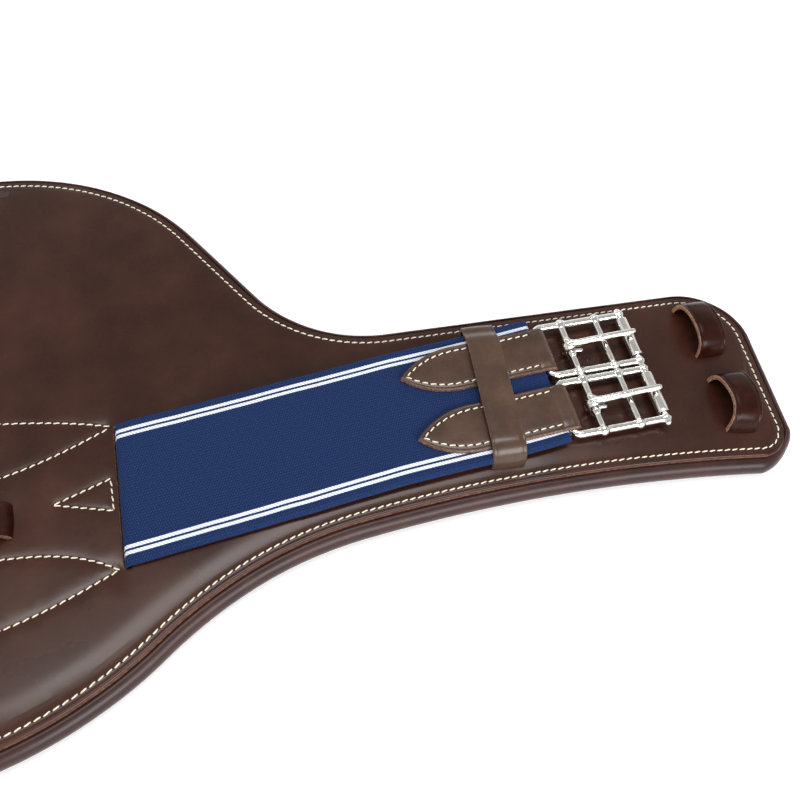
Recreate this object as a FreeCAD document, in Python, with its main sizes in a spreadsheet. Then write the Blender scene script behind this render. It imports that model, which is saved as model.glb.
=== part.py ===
import FreeCAD, Part
import math
import os
from FreeCAD import Placement, Rotation, Vector

# Short stud girth: a belly plate with two arms, lying flat with its outer side up.
# X runs along the girth, +Y towards the belly plate, +Z up. The origin is on the
# underside, at the girth's centre, on the line that the two elastics pull along.

doc = FreeCAD.newDocument("saddle_girth")
sheet = doc.addObject("Spreadsheet::Sheet", "dims")

dimensions = [
    # outline of the rolled edge, walked clockwise from the top of the plate
    ("plateTop", 224.5, "load line to the top of the belly plate"),
    ("crownRadius", 480.0, "top of the plate"),
    ("crownTurn", 5.8, "degrees"),
    ("shoulderRadius", 130.0, "plate corner"),
    ("shoulderTurn", 53.9, "degrees"),
    ("flankLength", 59.2, "straight side of the plate"),
    ("waistRadius", 77.8, "hollow curve from plate to arm"),
    ("waistTurn", 57.7, "degrees"),
    ("armLength", 165.0, "straight rear edge of the arm"),
    ("rearCornerRadius", 37.2, "arm end, plate side"),
    ("rearCornerTurn", 92.8, "degrees"),
    ("endLength", 56.0, "straight end of the arm"),
    ("frontCornerRadius", 20.0, "arm end, elbow side"),
    ("frontCornerTurn", 94.6, "degrees"),
    ("frontEdgeRadius", 843.0, "slightly hollow front edge"),
    ("frontEdgeTurn", 14.2, "degrees"),
    ("elbowRadius", 194.4, "elbow hollow"),
    ("elbowTurn", 31.0, "degrees"),
    # layers
    ("skinThickness", 1.5, "lining leather"),
    ("rollHeight", 11.0, "rolled edge, floor to panel"),
    ("rollRadius", 5.4, "rounding of the rolled edge"),
    ("panelInset", 4.5, "rolled edge to the panel's cut edge, on average"),
    ("panelShift", 2.0, "towards the plate, so more of the roll shows in front"),
    ("cavityInset", 12.0, "rolled edge to the foam"),
    ("foamGap", 0.2, "foam to lining, all round"),
    ("panelThickness", 3.6, "outer panel leather"),
    ("recessDepth", 6.0, "room in the foam for web and elastic tails"),
    ("recessLength", 204.0, "along X"),
    ("recessWidth", 78.0, "along Y"),
    ("webLength", 180.0, "hidden load web"),
    ("webWidth", 72.0, "hidden load web"),
    ("webThickness", 2.0, "hidden load web"),
    # elastic
    ("elasticWidth", 75.0, "three inch girth elastic"),
    ("elasticThickness", 4.0, "two layers"),
    ("slotStart", 95.0, "centre to the cut that the elastic comes out of"),
    ("slotLength", 13.5, "along X, mostly under the elastic"),
    ("slotWidth", 78.0, "along Y"),
    ("tailStart", 3.0, "centre to the elastic's sewn-in end"),
    ("rampEnd", 236.0, "centre to where the elastic lies level"),
    ("elasticEnd", 316.9, "centre to the elastic's folded outer end"),
    ("elasticDrift", 0.0919, "how far the elastic leans towards the plate"),
    # chapes
    ("chapeWidth", 26.2, "leather tab round the chape bar"),
    ("chapeThickness", 2.5, "one layer"),
    ("chapeLength", 79.5, "bar to the pointed tip"),
    ("chapeTail", 19.5, "bar to the end of the lower layer"),
    ("chapeTip", 30.0, "length of the pointed part"),
    # roller buckles, measured from the chape bar
    ("barX", 319.5, "centre to the chape bar"),
    ("barRise", 5.05, "panel to the bars' centre line"),
    ("buckleRear", 34.9, "load line to the buckle on the plate side"),
    ("buckleFront", -1.5, "load line to the buckle on the elbow side"),
    ("railSpacing", 31.0, "rail centre to rail centre"),
    ("railRadius", 2.1, "side rails"),
    ("knuckleRadius", 2.5, "rail ends at the roller"),
    ("chapeBarRadius", 2.0, "bar inside the chape"),
    ("tongueBarX", 15.4, "bar that the tongue turns on"),
    ("tongueBarRadius", 2.0, "bar that the tongue turns on"),
    ("collarRadius", 2.8, "collars beside the tongue"),
    ("collarLength", 1.5, "collars beside the tongue"),
    ("middleBarX", 35.4, "stiffening bar"),
    ("middleBarRadius", 1.8, "stiffening bar"),
    ("rollerBarX", 50.0, "bar inside the roller"),
    ("rollerBarRadius", 1.7, "bar inside the roller"),
    ("rollerRadius", 3.3, "roller tube, outside"),
    ("rollerLength", 24.6, "roller tube"),
    ("runningGap", 0.05, "radial clearance of every turning fit"),
    # tongue
    ("eyeRadius", 4.0, "outside of the eye"),
    ("eyeWidth", 6.0, "along the bar"),
    ("shankRise", 2.6, "bar to the shank's centre line, at the eye"),
    ("tipX", 35.2, "tongue bar to the centre of the tip"),
    ("tipRise", 5.8, "bar to the tip's centre"),
    ("shankRadius", 2.2, "at the eye"),
    ("tipRadius", 1.7, "at the tip"),
    # keeper over the elastic
    ("keeperX", 285.7, "centre of the band"),
    ("keeperY", 15.9, "centre of the band"),
    ("keeperLean", 4.4, "degrees from square"),
    ("keeperWidth", 17.0, "along the elastic"),
    ("keeperSpan", 87.0, "outside of one foot to outside of the other"),
    ("keeperRise", 12.4, "panel to the top of the band"),
    ("keeperThickness", 2.4, "leather"),
    ("keeperCorner", 5.0, "outside bend"),
    # loops for the billet straps
    ("loopX", 404.0, "centre to the near side of the loop"),
    ("loopRear", 34.2, "load line to the loop on the plate side"),
    ("loopFront", -13.6, "load line to the loop on the elbow side"),
    ("loopWidth", 15.4, "strap width"),
    ("loopSpan", 35.0, "outside of one foot to outside of the other"),
    ("loopRise", 13.0, "panel to crown, along the lean"),
    ("loopThickness", 2.6, "leather"),
    ("loopLean", 6.0, "degrees, outwards"),
    # centre loop for a breastplate strap
    ("centreSpan", 97.0, "outside of one foot to outside of the other"),
    ("centreRise", 14.0, "panel to crown"),
    ("centreThickness", 3.0, "leather"),
    ("centreWidth", 20.0, "strap width"),
    ("centreY", -3.5, "load line to the strap's middle"),
    ("slotGap", 0.1, "panel slot to strap, each side"),
]

for row, (alias, value, meaning) in enumerate(dimensions, start=1):
    sheet.set("A%d" % row, alias)
    sheet.set("B%d" % row, str(value))
    sheet.set("C%d" % row, meaning)
    sheet.setAlias("B%d" % row, alias)
doc.recompute()

subParts = []
upright = Rotation(Vector(1, 0, 0), 90)  # a sketch in the XZ plane: its y is world Z
crosswise = Rotation(Vector(1, 1, 1), 120)  # a sketch in the YZ plane: its x is world Y
alongY = Rotation(Vector(1, 0, 0), -90)  # turns a cylinder's axis from Z to Y
alongX = Rotation(Vector(0, 1, 0), 90)  # turns a cylinder's axis from Z to X


def dim(alias):
    return float(sheet.get(alias))


panelBottom = dim("rollHeight")
panelTop = panelBottom + dim("panelThickness")
barZ = panelTop + dim("barRise")
halfElastic = dim("elasticThickness") / 2


# ---- helpers ----

def originPlane(body, role):
    for feature in body.Origin.OriginFeatures:
        if feature.Role == role:
            return feature


def bodySketch(body, name, geometry, role="XY_Plane", heightExpression=None):
    sketch = body.newObject("Sketcher::SketchObject", name)
    sketch.AttachmentSupport = [(originPlane(body, role), "")]
    sketch.MapMode = "FlatFace"
    sketch.addGeometry(geometry, False)
    if heightExpression:
        sketch.setExpression("AttachmentOffset.Base.z", heightExpression)
    return sketch


def newBody(label):
    body = doc.addObject("PartDesign::Body", label)
    body.Label = label
    subParts.append(body)
    return body


def pad(body, sketch, lengthExpression, midplane=False):
    feature = body.newObject("PartDesign::Pad", body.Name + "_pad")
    feature.Profile = sketch
    feature.Midplane = midplane
    feature.setExpression("Length", lengthExpression)
    doc.recompute()
    return feature


def pocket(body, sketch, lengthExpression):
    before = body.Shape.Volume
    feature = body.newObject("PartDesign::Pocket", body.Name + "_pocket")
    feature.Profile = sketch
    feature.setExpression("Length", lengthExpression)
    doc.recompute()
    if body.Shape.Volume >= before:
        raise RuntimeError(body.Label + ": the pocket cuts nothing")
    return feature


def extrusion(name, geometry, placement, direction, lengthExpression, symmetric=False):
    sketch = doc.addObject("Sketcher::SketchObject", name + "_sketch")
    sketch.addGeometry(geometry, False)
    sketch.Placement = placement
    feature = doc.addObject("Part::Extrusion", name)
    feature.Base = sketch
    feature.DirMode = "Custom"
    feature.Dir = direction
    feature.Solid = True
    feature.Symmetric = symmetric
    feature.setExpression("LengthFwd", lengthExpression)
    return feature


def cylinder(name, radiusExpression, lengthExpression, placement):
    feature = doc.addObject("Part::Cylinder", name)
    feature.setExpression("Radius", radiusExpression)
    feature.setExpression("Height", lengthExpression)
    feature.Placement = placement
    return feature


def sphere(name, radiusExpression, centre):
    feature = doc.addObject("Part::Sphere", name)
    feature.setExpression("Radius", radiusExpression)
    feature.Placement = Placement(centre, Rotation())
    return feature


def fuse(label, shapes):
    feature = doc.addObject("Part::MultiFuse", label)
    feature.Shapes = shapes
    feature.Refine = True
    return feature


def boolean(kind, label, base, tool):
    feature = doc.addObject("Part::" + kind, label)
    feature.Base = base
    feature.Tool = tool
    return feature


def finish(feature, label, placement=None):
    feature.Label = label
    if placement:
        feature.Placement = placement
    subParts.append(feature)


def closedPolygon(points):
    corners = [Vector(x, y, 0) for x, y in points]
    return [Part.LineSegment(a, b) for a, b in zip(corners, corners[1:] + corners[:1])]


def arcThrough(centre, radius, startAngle, endAngle):
    points = []
    for angle in (startAngle, (startAngle + endAngle) / 2, endAngle):
        turn = math.radians(angle)
        points.append(Vector(centre[0] + radius * math.cos(turn), centre[1] + radius * math.sin(turn), 0))
    return Part.Arc(*points)


# ---- outline of the girth ----

# Each step is a straight or an arc: -1 bends the edge round the girth, +1 hollows it.
outlineSteps = [
    ("crownRadius", "crownTurn", -1),
    ("shoulderRadius", "shoulderTurn", -1),
    ("flankLength", None, 0),
    ("waistRadius", "waistTurn", 1),
    ("armLength", None, 0),
    ("rearCornerRadius", "rearCornerTurn", -1),
    ("endLength", None, 0),
    ("frontCornerRadius", "frontCornerTurn", -1),
    ("frontEdgeRadius", "frontEdgeTurn", 1),
    ("elbowRadius", "elbowTurn", 1),
]


def walkArc(x, y, heading, radius, turn, bend):
    # The arc's centre is square to the heading, on the side that it bends to.
    centreX = x - bend * math.sin(heading) * radius
    centreY = y + bend * math.cos(heading) * radius
    points = []
    for share in (0.5, 1.0):
        angle = heading + bend * turn * share
        points.append((centreX + bend * math.sin(angle) * radius, centreY - bend * math.cos(angle) * radius))
    return points[0], points[1], heading + bend * turn


def outline(inset, shift=0.0):
    # The same walk at any inset: arcs that bend round the girth shrink, hollow ones grow.
    x, y, heading = 0.0, dim("plateTop") - inset + shift, 0.0
    moves = []
    for size, turnAlias, bend in outlineSteps:
        if bend == 0:
            endX = x + dim(size) * math.cos(heading)
            endY = y + dim(size) * math.sin(heading)
            moves.append(((x, y), None, (endX, endY)))
        else:
            turn = math.radians(dim(turnAlias))
            middle, end, heading = walkArc(x, y, heading, dim(size) + bend * inset, turn, bend)
            moves.append(((x, y), middle, end))
            endX, endY = end
        x, y = endX, endY
    # The front bulge closes the walk on the girth's centre line.
    bulgeRadius = -x / math.sin(heading)
    middle, end, heading = walkArc(x, y, heading, bulgeRadius, math.pi + heading, -1)
    moves.append(((x, y), middle, end))
    edges = []
    for side in (1, -1):
        for start, middle, end in moves:
            first = Vector(side * start[0], start[1], 0)
            last = Vector(side * end[0], end[1], 0)
            if middle is None:
                edges.append(Part.LineSegment(first, last))
            else:
                edges.append(Part.Arc(first, Vector(side * middle[0], middle[1], 0), last))
    return edges


def rectangle(centre, length, width, angle=0.0):
    turn = math.radians(angle)
    corners = []
    for x, y in ((-1, -1), (1, -1), (1, 1), (-1, 1)):
        dx = x * length / 2
        dy = y * width / 2
        corners.append((centre[0] + dx * math.cos(turn) - dy * math.sin(turn),
                        centre[1] + dx * math.sin(turn) + dy * math.cos(turn)))
    return closedPolygon(corners)


# ---- lining: soft leather tray with a rolled edge ----

lining = newBody("lining")
liningPad = pad(lining, bodySketch(lining, "lining_outline", outline(0)), "dims.rollHeight")
rims = []
for number, edge in enumerate(liningPad.Shape.Edges, start=1):
    if edge.BoundBox.ZLength < 0.01:
        rims.append("Edge%d" % number)
roll = lining.newObject("PartDesign::Fillet", "rolled_edge")
roll.Base = (liningPad, rims)
roll.setExpression("Radius", "dims.rollRadius")
doc.recompute()
cavity = bodySketch(lining, "foam_cavity", outline(dim("cavityInset")), heightExpression="dims.rollHeight")
pocket(lining, cavity, "dims.rollHeight - dims.skinThickness")


# ---- foam and hidden load web ----

foam = newBody("foam_pad")
foamOutline = bodySketch(foam, "foam_outline", outline(dim("cavityInset") + dim("foamGap")),
                         heightExpression="dims.skinThickness")
pad(foam, foamOutline, "dims.rollHeight - dims.skinThickness")
recess = bodySketch(foam, "web_recess", rectangle((0, 0), dim("recessLength"), dim("recessWidth")),
                    heightExpression="dims.rollHeight")
pocket(foam, recess, "dims.recessDepth")

web = doc.addObject("Part::Box", "load_web")
web.setExpression("Length", "dims.webLength")
web.setExpression("Width", "dims.webWidth")
web.setExpression("Height", "dims.webThickness")
web.setExpression("Placement.Base.x", "-dims.webLength / 2")
web.setExpression("Placement.Base.y", "-dims.webWidth / 2")
web.setExpression("Placement.Base.z", "dims.rollHeight - dims.recessDepth")
finish(web, "load_web")


# ---- outer panel with its cut slots ----

def strapSlots(centre, angle, span, thickness, width, shift=0.0):
    # Two slots, one for each foot of a strap that bridges along the slot frame's y.
    gap = dim("slotGap")
    turn = math.radians(angle)
    reach = (span - thickness) / 2
    slots = []
    for end in (-1, 1):
        x = centre[0] + shift * math.cos(turn) - end * reach * math.sin(turn)
        y = centre[1] + shift * math.sin(turn) + end * reach * math.cos(turn)
        slots += rectangle((x, y), width + 2 * gap, thickness + 2 * gap, angle)
    return slots


slots = []
footShift = dim("panelThickness") * math.tan(math.radians(dim("loopLean")))
for side in (1, -1):
    slots += rectangle((side * (dim("slotStart") + dim("slotLength") / 2), 0), dim("slotLength"), dim("slotWidth"))
    slots += strapSlots((side * dim("keeperX"), dim("keeperY")), -side * dim("keeperLean"),
                        dim("keeperSpan"), dim("keeperThickness"), dim("keeperWidth"))
    for loopY in (dim("loopRear"), dim("loopFront")):
        # The loops lean, so their feet reach back towards the centre inside the panel.
        middle = side * (dim("loopX") + dim("loopWidth") / 2 - footShift / 2)
        slots += strapSlots((middle, loopY), 0, dim("loopSpan"), dim("loopThickness"),
                            dim("loopWidth") + footShift)
slots += strapSlots((0, dim("centreY")), -90, dim("centreSpan"), dim("centreThickness"), dim("centreWidth"))

panel = newBody("outer_panel")
panelOutline = bodySketch(panel, "panel_outline", outline(dim("panelInset"), dim("panelShift")),
                          heightExpression="dims.rollHeight")
pad(panel, panelOutline, "dims.panelThickness")
slotSketch = bodySketch(panel, "panel_slots", slots,
                        heightExpression="dims.rollHeight + dims.panelThickness")
pocket(panel, slotSketch, "dims.panelThickness")


# ---- elastics ----

def elastic(label, side):
    # Side view: the sewn-in tail, the rise through the slot, the slope and the level end.
    middle = [
        (dim("tailStart"), panelBottom - halfElastic),
        (dim("slotStart") + 0.5, panelBottom - halfElastic),
        (dim("slotStart") + dim("slotLength") - 1.0, panelTop + halfElastic + 0.3),
        (dim("rampEnd"), barZ),
        (dim("elasticEnd"), barZ),
    ]
    upper = [(side * x, z + halfElastic) for x, z in middle]
    lower = [(side * x, z - halfElastic) for x, z in reversed(middle)]
    layers = extrusion(label + "_layers", closedPolygon(upper + lower),
                       Placement(Vector(0, 0, 0), upright), Vector(0, 1, 0), "4 * dims.elasticWidth", True)
    # Plan view: square to the slot inside the girth, then leaning towards the plate.
    bend = dim("slotStart") + 6.0
    drift = dim("elasticDrift") * (dim("elasticEnd") - bend)
    half = dim("elasticWidth") / 2
    plan = [
        (dim("tailStart"), -half),
        (bend, -half),
        (dim("elasticEnd"), drift - half),
        (dim("elasticEnd"), drift + half),
        (bend, half),
        (dim("tailStart"), half),
    ]
    planBlock = extrusion(label + "_plan", closedPolygon([(side * x, y) for x, y in plan]),
                          Placement(), Vector(0, 0, 1), "3 * dims.rollHeight")
    finish(boolean("Common", label, layers, planBlock), label)


elastic("elastic_right", 1)
elastic("elastic_left", -1)


# ---- chapes and buckles ----

def chape(label, placement):
    inner = dim("chapeBarRadius") + dim("runningGap")
    outer = inner + dim("chapeThickness")
    tip = -dim("chapeLength")
    tail = -dim("chapeTail")
    # Side view: upper layer, fold round the bar, lower layer, and the slit for the elastic.
    fold = [
        Part.LineSegment(Vector(0, outer, 0), Vector(tip, outer, 0)),
        Part.LineSegment(Vector(tip, outer, 0), Vector(tip, inner, 0)),
        Part.LineSegment(Vector(tip, inner, 0), Vector(0, inner, 0)),
        arcThrough((0, 0), inner, 90, -90),
        Part.LineSegment(Vector(0, -inner, 0), Vector(tail, -inner, 0)),
        Part.LineSegment(Vector(tail, -inner, 0), Vector(tail, -outer, 0)),
        Part.LineSegment(Vector(tail, -outer, 0), Vector(0, -outer, 0)),
        arcThrough((0, 0), outer, -90, 90),
    ]
    strap = extrusion(label + "_fold", fold, Placement(Vector(0, 0, 0), upright), Vector(0, 1, 0),
                      "dims.chapeWidth", True)
    # Plan view: parallel sides that close on the tip in two arcs.
    half = dim("chapeWidth") / 2
    reach = dim("chapeTip")
    shoulder = tip + reach
    bow = (reach * reach + half * half) / (2 * half)
    sweep = math.degrees(math.asin(reach / bow))
    end = outer + 1.0
    plan = [
        arcThrough((shoulder, half - bow), bow, 90, 90 + sweep),
        arcThrough((shoulder, bow - half), bow, -90 - sweep, -90),
        Part.LineSegment(Vector(shoulder, -half, 0), Vector(end, -half, 0)),
        Part.LineSegment(Vector(end, -half, 0), Vector(end, half, 0)),
        Part.LineSegment(Vector(end, half, 0), Vector(shoulder, half, 0)),
    ]
    planBlock = extrusion(label + "_plan", plan, Placement(Vector(0, 0, -2 * outer), Rotation()),
                          Vector(0, 0, 1), "10 * dims.chapeThickness")
    finish(boolean("Common", label, strap, planBlock), label, placement)


def buckleFrame(label, placement):
    half = dim("railSpacing") / 2
    pieces = []
    for side, word in ((-1, "a"), (1, "b")):
        start = Vector(0, side * half, 0)
        end = Vector(dim("rollerBarX"), side * half, 0)
        pieces.append(cylinder(label + "_rail_" + word, "dims.railRadius", "dims.rollerBarX",
                               Placement(start, alongX)))
        pieces.append(sphere(label + "_corner_" + word, "dims.railRadius", start))
        pieces.append(sphere(label + "_knuckle_" + word, "dims.knuckleRadius", end))
        collarStart = side * (dim("eyeWidth") / 2 + 0.3) - (dim("collarLength") if side < 0 else 0)
        pieces.append(cylinder(label + "_collar_" + word, "dims.collarRadius", "dims.collarLength",
                               Placement(Vector(dim("tongueBarX"), collarStart, 0), alongY)))
    for word, barX in (("chape", 0), ("tongue", dim("tongueBarX")),
                       ("middle", dim("middleBarX")), ("roller", dim("rollerBarX"))):
        pieces.append(cylinder(label + "_bar_" + word, "dims.%sBarRadius" % word, "dims.railSpacing",
                               Placement(Vector(barX, -half, 0), alongY)))
    finish(fuse(label, pieces), label, placement)


def tongue(label, placement):
    rise = dim("tipRise") - dim("shankRise")
    slope = math.degrees(math.atan2(rise, dim("tipX")))
    shank = doc.addObject("Part::Cone", label + "_shank")
    shank.setExpression("Radius1", "dims.shankRadius")
    shank.setExpression("Radius2", "dims.tipRadius")
    shank.setExpression("Height", "sqrt(dims.tipX ^ 2 + (dims.tipRise - dims.shankRise) ^ 2)")
    shank.Placement = Placement(Vector(0, 0, dim("shankRise")), Rotation(Vector(0, 1, 0), 90 - slope))
    tip = sphere(label + "_tip", "dims.tipRadius", Vector(dim("tipX"), 0, dim("tipRise")))
    eyeStart = Vector(0, -dim("eyeWidth") / 2, 0)
    eye = cylinder(label + "_eye", "dims.eyeRadius", "dims.eyeWidth", Placement(eyeStart, alongY))
    solid = fuse(label + "_solid", [shank, tip, eye])
    boreStart = Vector(0, -dim("eyeWidth"), 0)
    bore = cylinder(label + "_bore", "dims.tongueBarRadius + dims.runningGap", "2 * dims.eyeWidth",
                    Placement(boreStart, alongY))
    finish(boolean("Cut", label, solid, bore), label, placement)


def roller(label, placement):
    body = newBody(label)
    rings = [
        Part.Circle(Vector(0, 0, 0), Vector(0, 0, 1), dim("rollerRadius")),
        Part.Circle(Vector(0, 0, 0), Vector(0, 0, 1), dim("rollerBarRadius") + dim("runningGap")),
    ]
    pad(body, bodySketch(body, label + "_rings", rings, "XZ_Plane"), "dims.rollerLength", True)
    body.Placement = placement


for side, sideName in ((1, "right"), (-1, "left")):
    facing = Rotation(Vector(0, 0, 1), 0 if side > 0 else 180)
    for rowName, rowY in (("rear", dim("buckleRear")), ("front", dim("buckleFront"))):
        name = sideName + "_" + rowName
        chape("chape_" + name, Placement(Vector(side * dim("barX"), rowY, barZ), facing))
        buckleFrame("buckle_frame_" + name, Placement(Vector(side * dim("barX"), rowY, barZ), facing))
        tongueX = side * (dim("barX") + dim("tongueBarX"))
        tongue("tongue_" + name, Placement(Vector(tongueX, rowY, barZ), facing))
        rollerX = side * (dim("barX") + dim("rollerBarX"))
        roller("roller_" + name, Placement(Vector(rollerX, rowY, barZ), facing))


# ---- leather keepers and loops ----

def keeper(label, side):
    # A flat band on two short feet, bent down at both ends and let into the panel.
    outer = dim("keeperSpan") / 2
    inner = outer - dim("keeperThickness")
    top = dim("keeperRise")
    under = top - dim("keeperThickness")
    bend = dim("keeperCorner")
    inBend = bend - dim("keeperThickness")
    foot = -dim("panelThickness")
    profile = [
        Part.LineSegment(Vector(-outer, foot, 0), Vector(-outer, top - bend, 0)),
        arcThrough((bend - outer, top - bend), bend, 180, 90),
        Part.LineSegment(Vector(bend - outer, top, 0), Vector(outer - bend, top, 0)),
        arcThrough((outer - bend, top - bend), bend, 90, 0),
        Part.LineSegment(Vector(outer, top - bend, 0), Vector(outer, foot, 0)),
        Part.LineSegment(Vector(outer, foot, 0), Vector(inner, foot, 0)),
        Part.LineSegment(Vector(inner, foot, 0), Vector(inner, under - inBend, 0)),
        arcThrough((inner - inBend, under - inBend), inBend, 0, 90),
        Part.LineSegment(Vector(inner - inBend, under, 0), Vector(inBend - inner, under, 0)),
        arcThrough((inBend - inner, under - inBend), inBend, 90, 180),
        Part.LineSegment(Vector(-inner, under - inBend, 0), Vector(-inner, foot, 0)),
        Part.LineSegment(Vector(-inner, foot, 0), Vector(-outer, foot, 0)),
    ]
    band = extrusion(label, profile, Placement(Vector(0, 0, 0), crosswise), Vector(1, 0, 0),
                     "dims.keeperWidth", True)
    lean = Rotation(Vector(0, 0, 1), -side * dim("keeperLean"))
    finish(band, label, Placement(Vector(side * dim("keeperX"), dim("keeperY"), panelTop), lean))


def archProfile(span, rise, thickness, footDepth):
    # Half an ellipse on two feet.
    outer = span / 2
    inner = outer - thickness
    centre = Vector(0, 0, 0)
    outerArch = Part.Ellipse(centre, outer, rise)
    innerArch = Part.Ellipse(centre, inner, rise - thickness)
    return [
        Part.ArcOfEllipse(outerArch, 0, math.pi),
        Part.LineSegment(Vector(-outer, 0, 0), Vector(-outer, -footDepth, 0)),
        Part.LineSegment(Vector(-outer, -footDepth, 0), Vector(-inner, -footDepth, 0)),
        Part.LineSegment(Vector(-inner, -footDepth, 0), Vector(-inner, 0, 0)),
        Part.ArcOfEllipse(innerArch, 0, math.pi),
        Part.LineSegment(Vector(inner, 0, 0), Vector(inner, -footDepth, 0)),
        Part.LineSegment(Vector(inner, -footDepth, 0), Vector(outer, -footDepth, 0)),
        Part.LineSegment(Vector(outer, -footDepth, 0), Vector(outer, 0, 0)),
    ]


def billetLoop(label, side, loopY):
    # The arch is drawn in a plane that leans outwards, and the strap's width runs along X.
    footDepth = dim("panelThickness") / math.cos(math.radians(dim("loopLean")))
    profile = archProfile(dim("loopSpan"), dim("loopRise"), dim("loopThickness"), footDepth)
    leaning = Rotation(Vector(0, 1, 0), side * dim("loopLean")).multiply(crosswise)
    arch = extrusion(label, profile, Placement(Vector(side * dim("loopX"), loopY, panelTop), leaning),
                     Vector(side, 0, 0), "dims.loopWidth")
    finish(arch, label)


for side, sideName in ((1, "right"), (-1, "left")):
    keeper("keeper_band_" + sideName, side)
    billetLoop("billet_loop_%s_rear" % sideName, side, dim("loopRear"))
    billetLoop("billet_loop_%s_front" % sideName, side, dim("loopFront"))

centreProfile = archProfile(dim("centreSpan"), dim("centreRise"), dim("centreThickness"), dim("panelThickness"))
centreLoop = extrusion("centre_loop", centreProfile,
                       Placement(Vector(0, dim("centreY"), panelTop), upright), Vector(0, 1, 0),
                       "dims.centreWidth", True)
finish(centreLoop, "centre_loop")


# ---- check and write ----

doc.recompute()
for item in doc.Objects:
    if "Invalid" in item.State or "Error" in item.State:
        raise RuntimeError(item.Label + " failed: " + str(item.State))
os.makedirs("parts", exist_ok=True)
for item in subParts:
    shape = item.Shape
    if shape.isNull() or not shape.isValid() or len(shape.Solids) != 1:
        raise RuntimeError("%s: null, not valid or %d solids" % (item.Label, len(shape.Solids)))
    shape.exportStep("parts/%s.step" % item.Label)
    box = shape.BoundBox
    print("%-26s %9.1f mm3  x %7.1f %7.1f  y %7.1f %7.1f  z %5.1f %5.1f"
          % (item.Label, shape.Volume, box.XMin, box.XMax, box.YMin, box.YMax, box.ZMin, box.ZMax))
print(len(subParts), "sub-parts written")
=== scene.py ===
import bmesh
import math

import bpy
import numpy as np
from mathutils import Matrix, Vector, geometry, kdtree, noise


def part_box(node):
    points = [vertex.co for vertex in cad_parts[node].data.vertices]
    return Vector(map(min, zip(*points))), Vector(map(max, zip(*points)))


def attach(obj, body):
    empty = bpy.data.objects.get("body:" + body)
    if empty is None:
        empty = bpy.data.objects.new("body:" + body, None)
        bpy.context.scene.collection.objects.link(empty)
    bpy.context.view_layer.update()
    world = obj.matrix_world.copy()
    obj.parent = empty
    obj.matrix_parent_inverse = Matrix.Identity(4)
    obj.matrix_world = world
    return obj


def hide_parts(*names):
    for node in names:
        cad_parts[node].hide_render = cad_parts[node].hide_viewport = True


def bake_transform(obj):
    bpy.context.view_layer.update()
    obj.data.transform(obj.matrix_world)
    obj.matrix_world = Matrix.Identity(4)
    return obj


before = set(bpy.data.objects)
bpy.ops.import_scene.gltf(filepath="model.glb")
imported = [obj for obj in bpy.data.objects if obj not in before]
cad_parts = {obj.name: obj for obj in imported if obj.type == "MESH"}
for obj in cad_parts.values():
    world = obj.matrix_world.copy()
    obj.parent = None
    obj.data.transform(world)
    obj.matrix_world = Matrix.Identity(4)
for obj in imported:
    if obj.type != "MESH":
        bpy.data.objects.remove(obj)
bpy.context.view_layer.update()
mm = 0.001
up = Vector((0, 0, 1))
sides = {"right": 1, "left": -1}
rows = ("rear", "front")


# Small tools that every piece uses. Lengths are millimetres until a mesh is made.

def toLinear(hexColour):
    channels = [int(hexColour[i:i + 2], 16) / 255 for i in (1, 3, 5)]
    return [c / 12.92 if c <= 0.04045 else ((c + 0.055) / 1.055) ** 2.4 for c in channels] + [1.0]


def boxOf(node):
    low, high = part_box(node)
    return low / mm, high / mm


def addNode(tree, kind, settings=None, links=None):
    node = tree.nodes.new(kind)
    for key, value in (settings or {}).items():
        if key == "ramp":   # a list of (position, colour)
            while len(node.color_ramp.elements) < len(value):
                node.color_ramp.elements.new(1.0)
            for element, (position, colour) in zip(node.color_ramp.elements, value):
                element.position = position
                element.color = toLinear(colour)
        elif key == "interpolation":
            node.color_ramp.interpolation = value
        elif isinstance(key, int) or key in node.inputs:
            node.inputs[key].default_value = value
        else:
            setattr(node, key, value)
    for key, source in (links or {}).items():
        tree.links.new(source, node.inputs[key])
    return node


def newMaterial(name, settings):
    material = bpy.data.materials.new(name)
    material.use_nodes = True
    tree = material.node_tree
    shader = tree.nodes["Principled BSDF"]
    for key, value in settings.items():
        shader.inputs[key].default_value = value
    return material, tree, shader


def makePiece(name, vertices, faces, materials, faceMaterials=None, cutUv=None):
    mesh = bpy.data.meshes.new(name)
    mesh.from_pydata([tuple(c * mm for c in v) for v in vertices], [], faces)
    for material in materials:
        mesh.materials.append(material)
    if faceMaterials is not None:
        mesh.polygons.foreach_set("material_index", faceMaterials)
    mesh.polygons.foreach_set("use_smooth", [True] * len(mesh.polygons))
    if cutUv is not None:   # millimetres along and across, so patterns keep their size
        layer = mesh.uv_layers.new(name="cut")
        corner = np.zeros(len(mesh.loops), np.int32)
        mesh.loops.foreach_get("vertex_index", corner)
        layer.data.foreach_set("uv", np.array(cutUv, np.float32)[corner].ravel())
    mesh.update()
    piece = bpy.data.objects.new(name, mesh)
    bpy.context.scene.collection.objects.link(piece)
    return piece


def cleanUp(piece, distance=0.002):
    work = bmesh.new()
    work.from_mesh(piece.data)
    bmesh.ops.remove_doubles(work, verts=work.verts, dist=distance * mm)
    bmesh.ops.recalc_face_normals(work, faces=work.faces)
    work.to_mesh(piece.data)
    work.free()


def applyModifiers(piece):
    graph = bpy.context.evaluated_depsgraph_get()
    made = bpy.data.meshes.new_from_object(piece.evaluated_get(graph), depsgraph=graph)
    piece.modifiers.clear()
    piece.data = made


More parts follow.
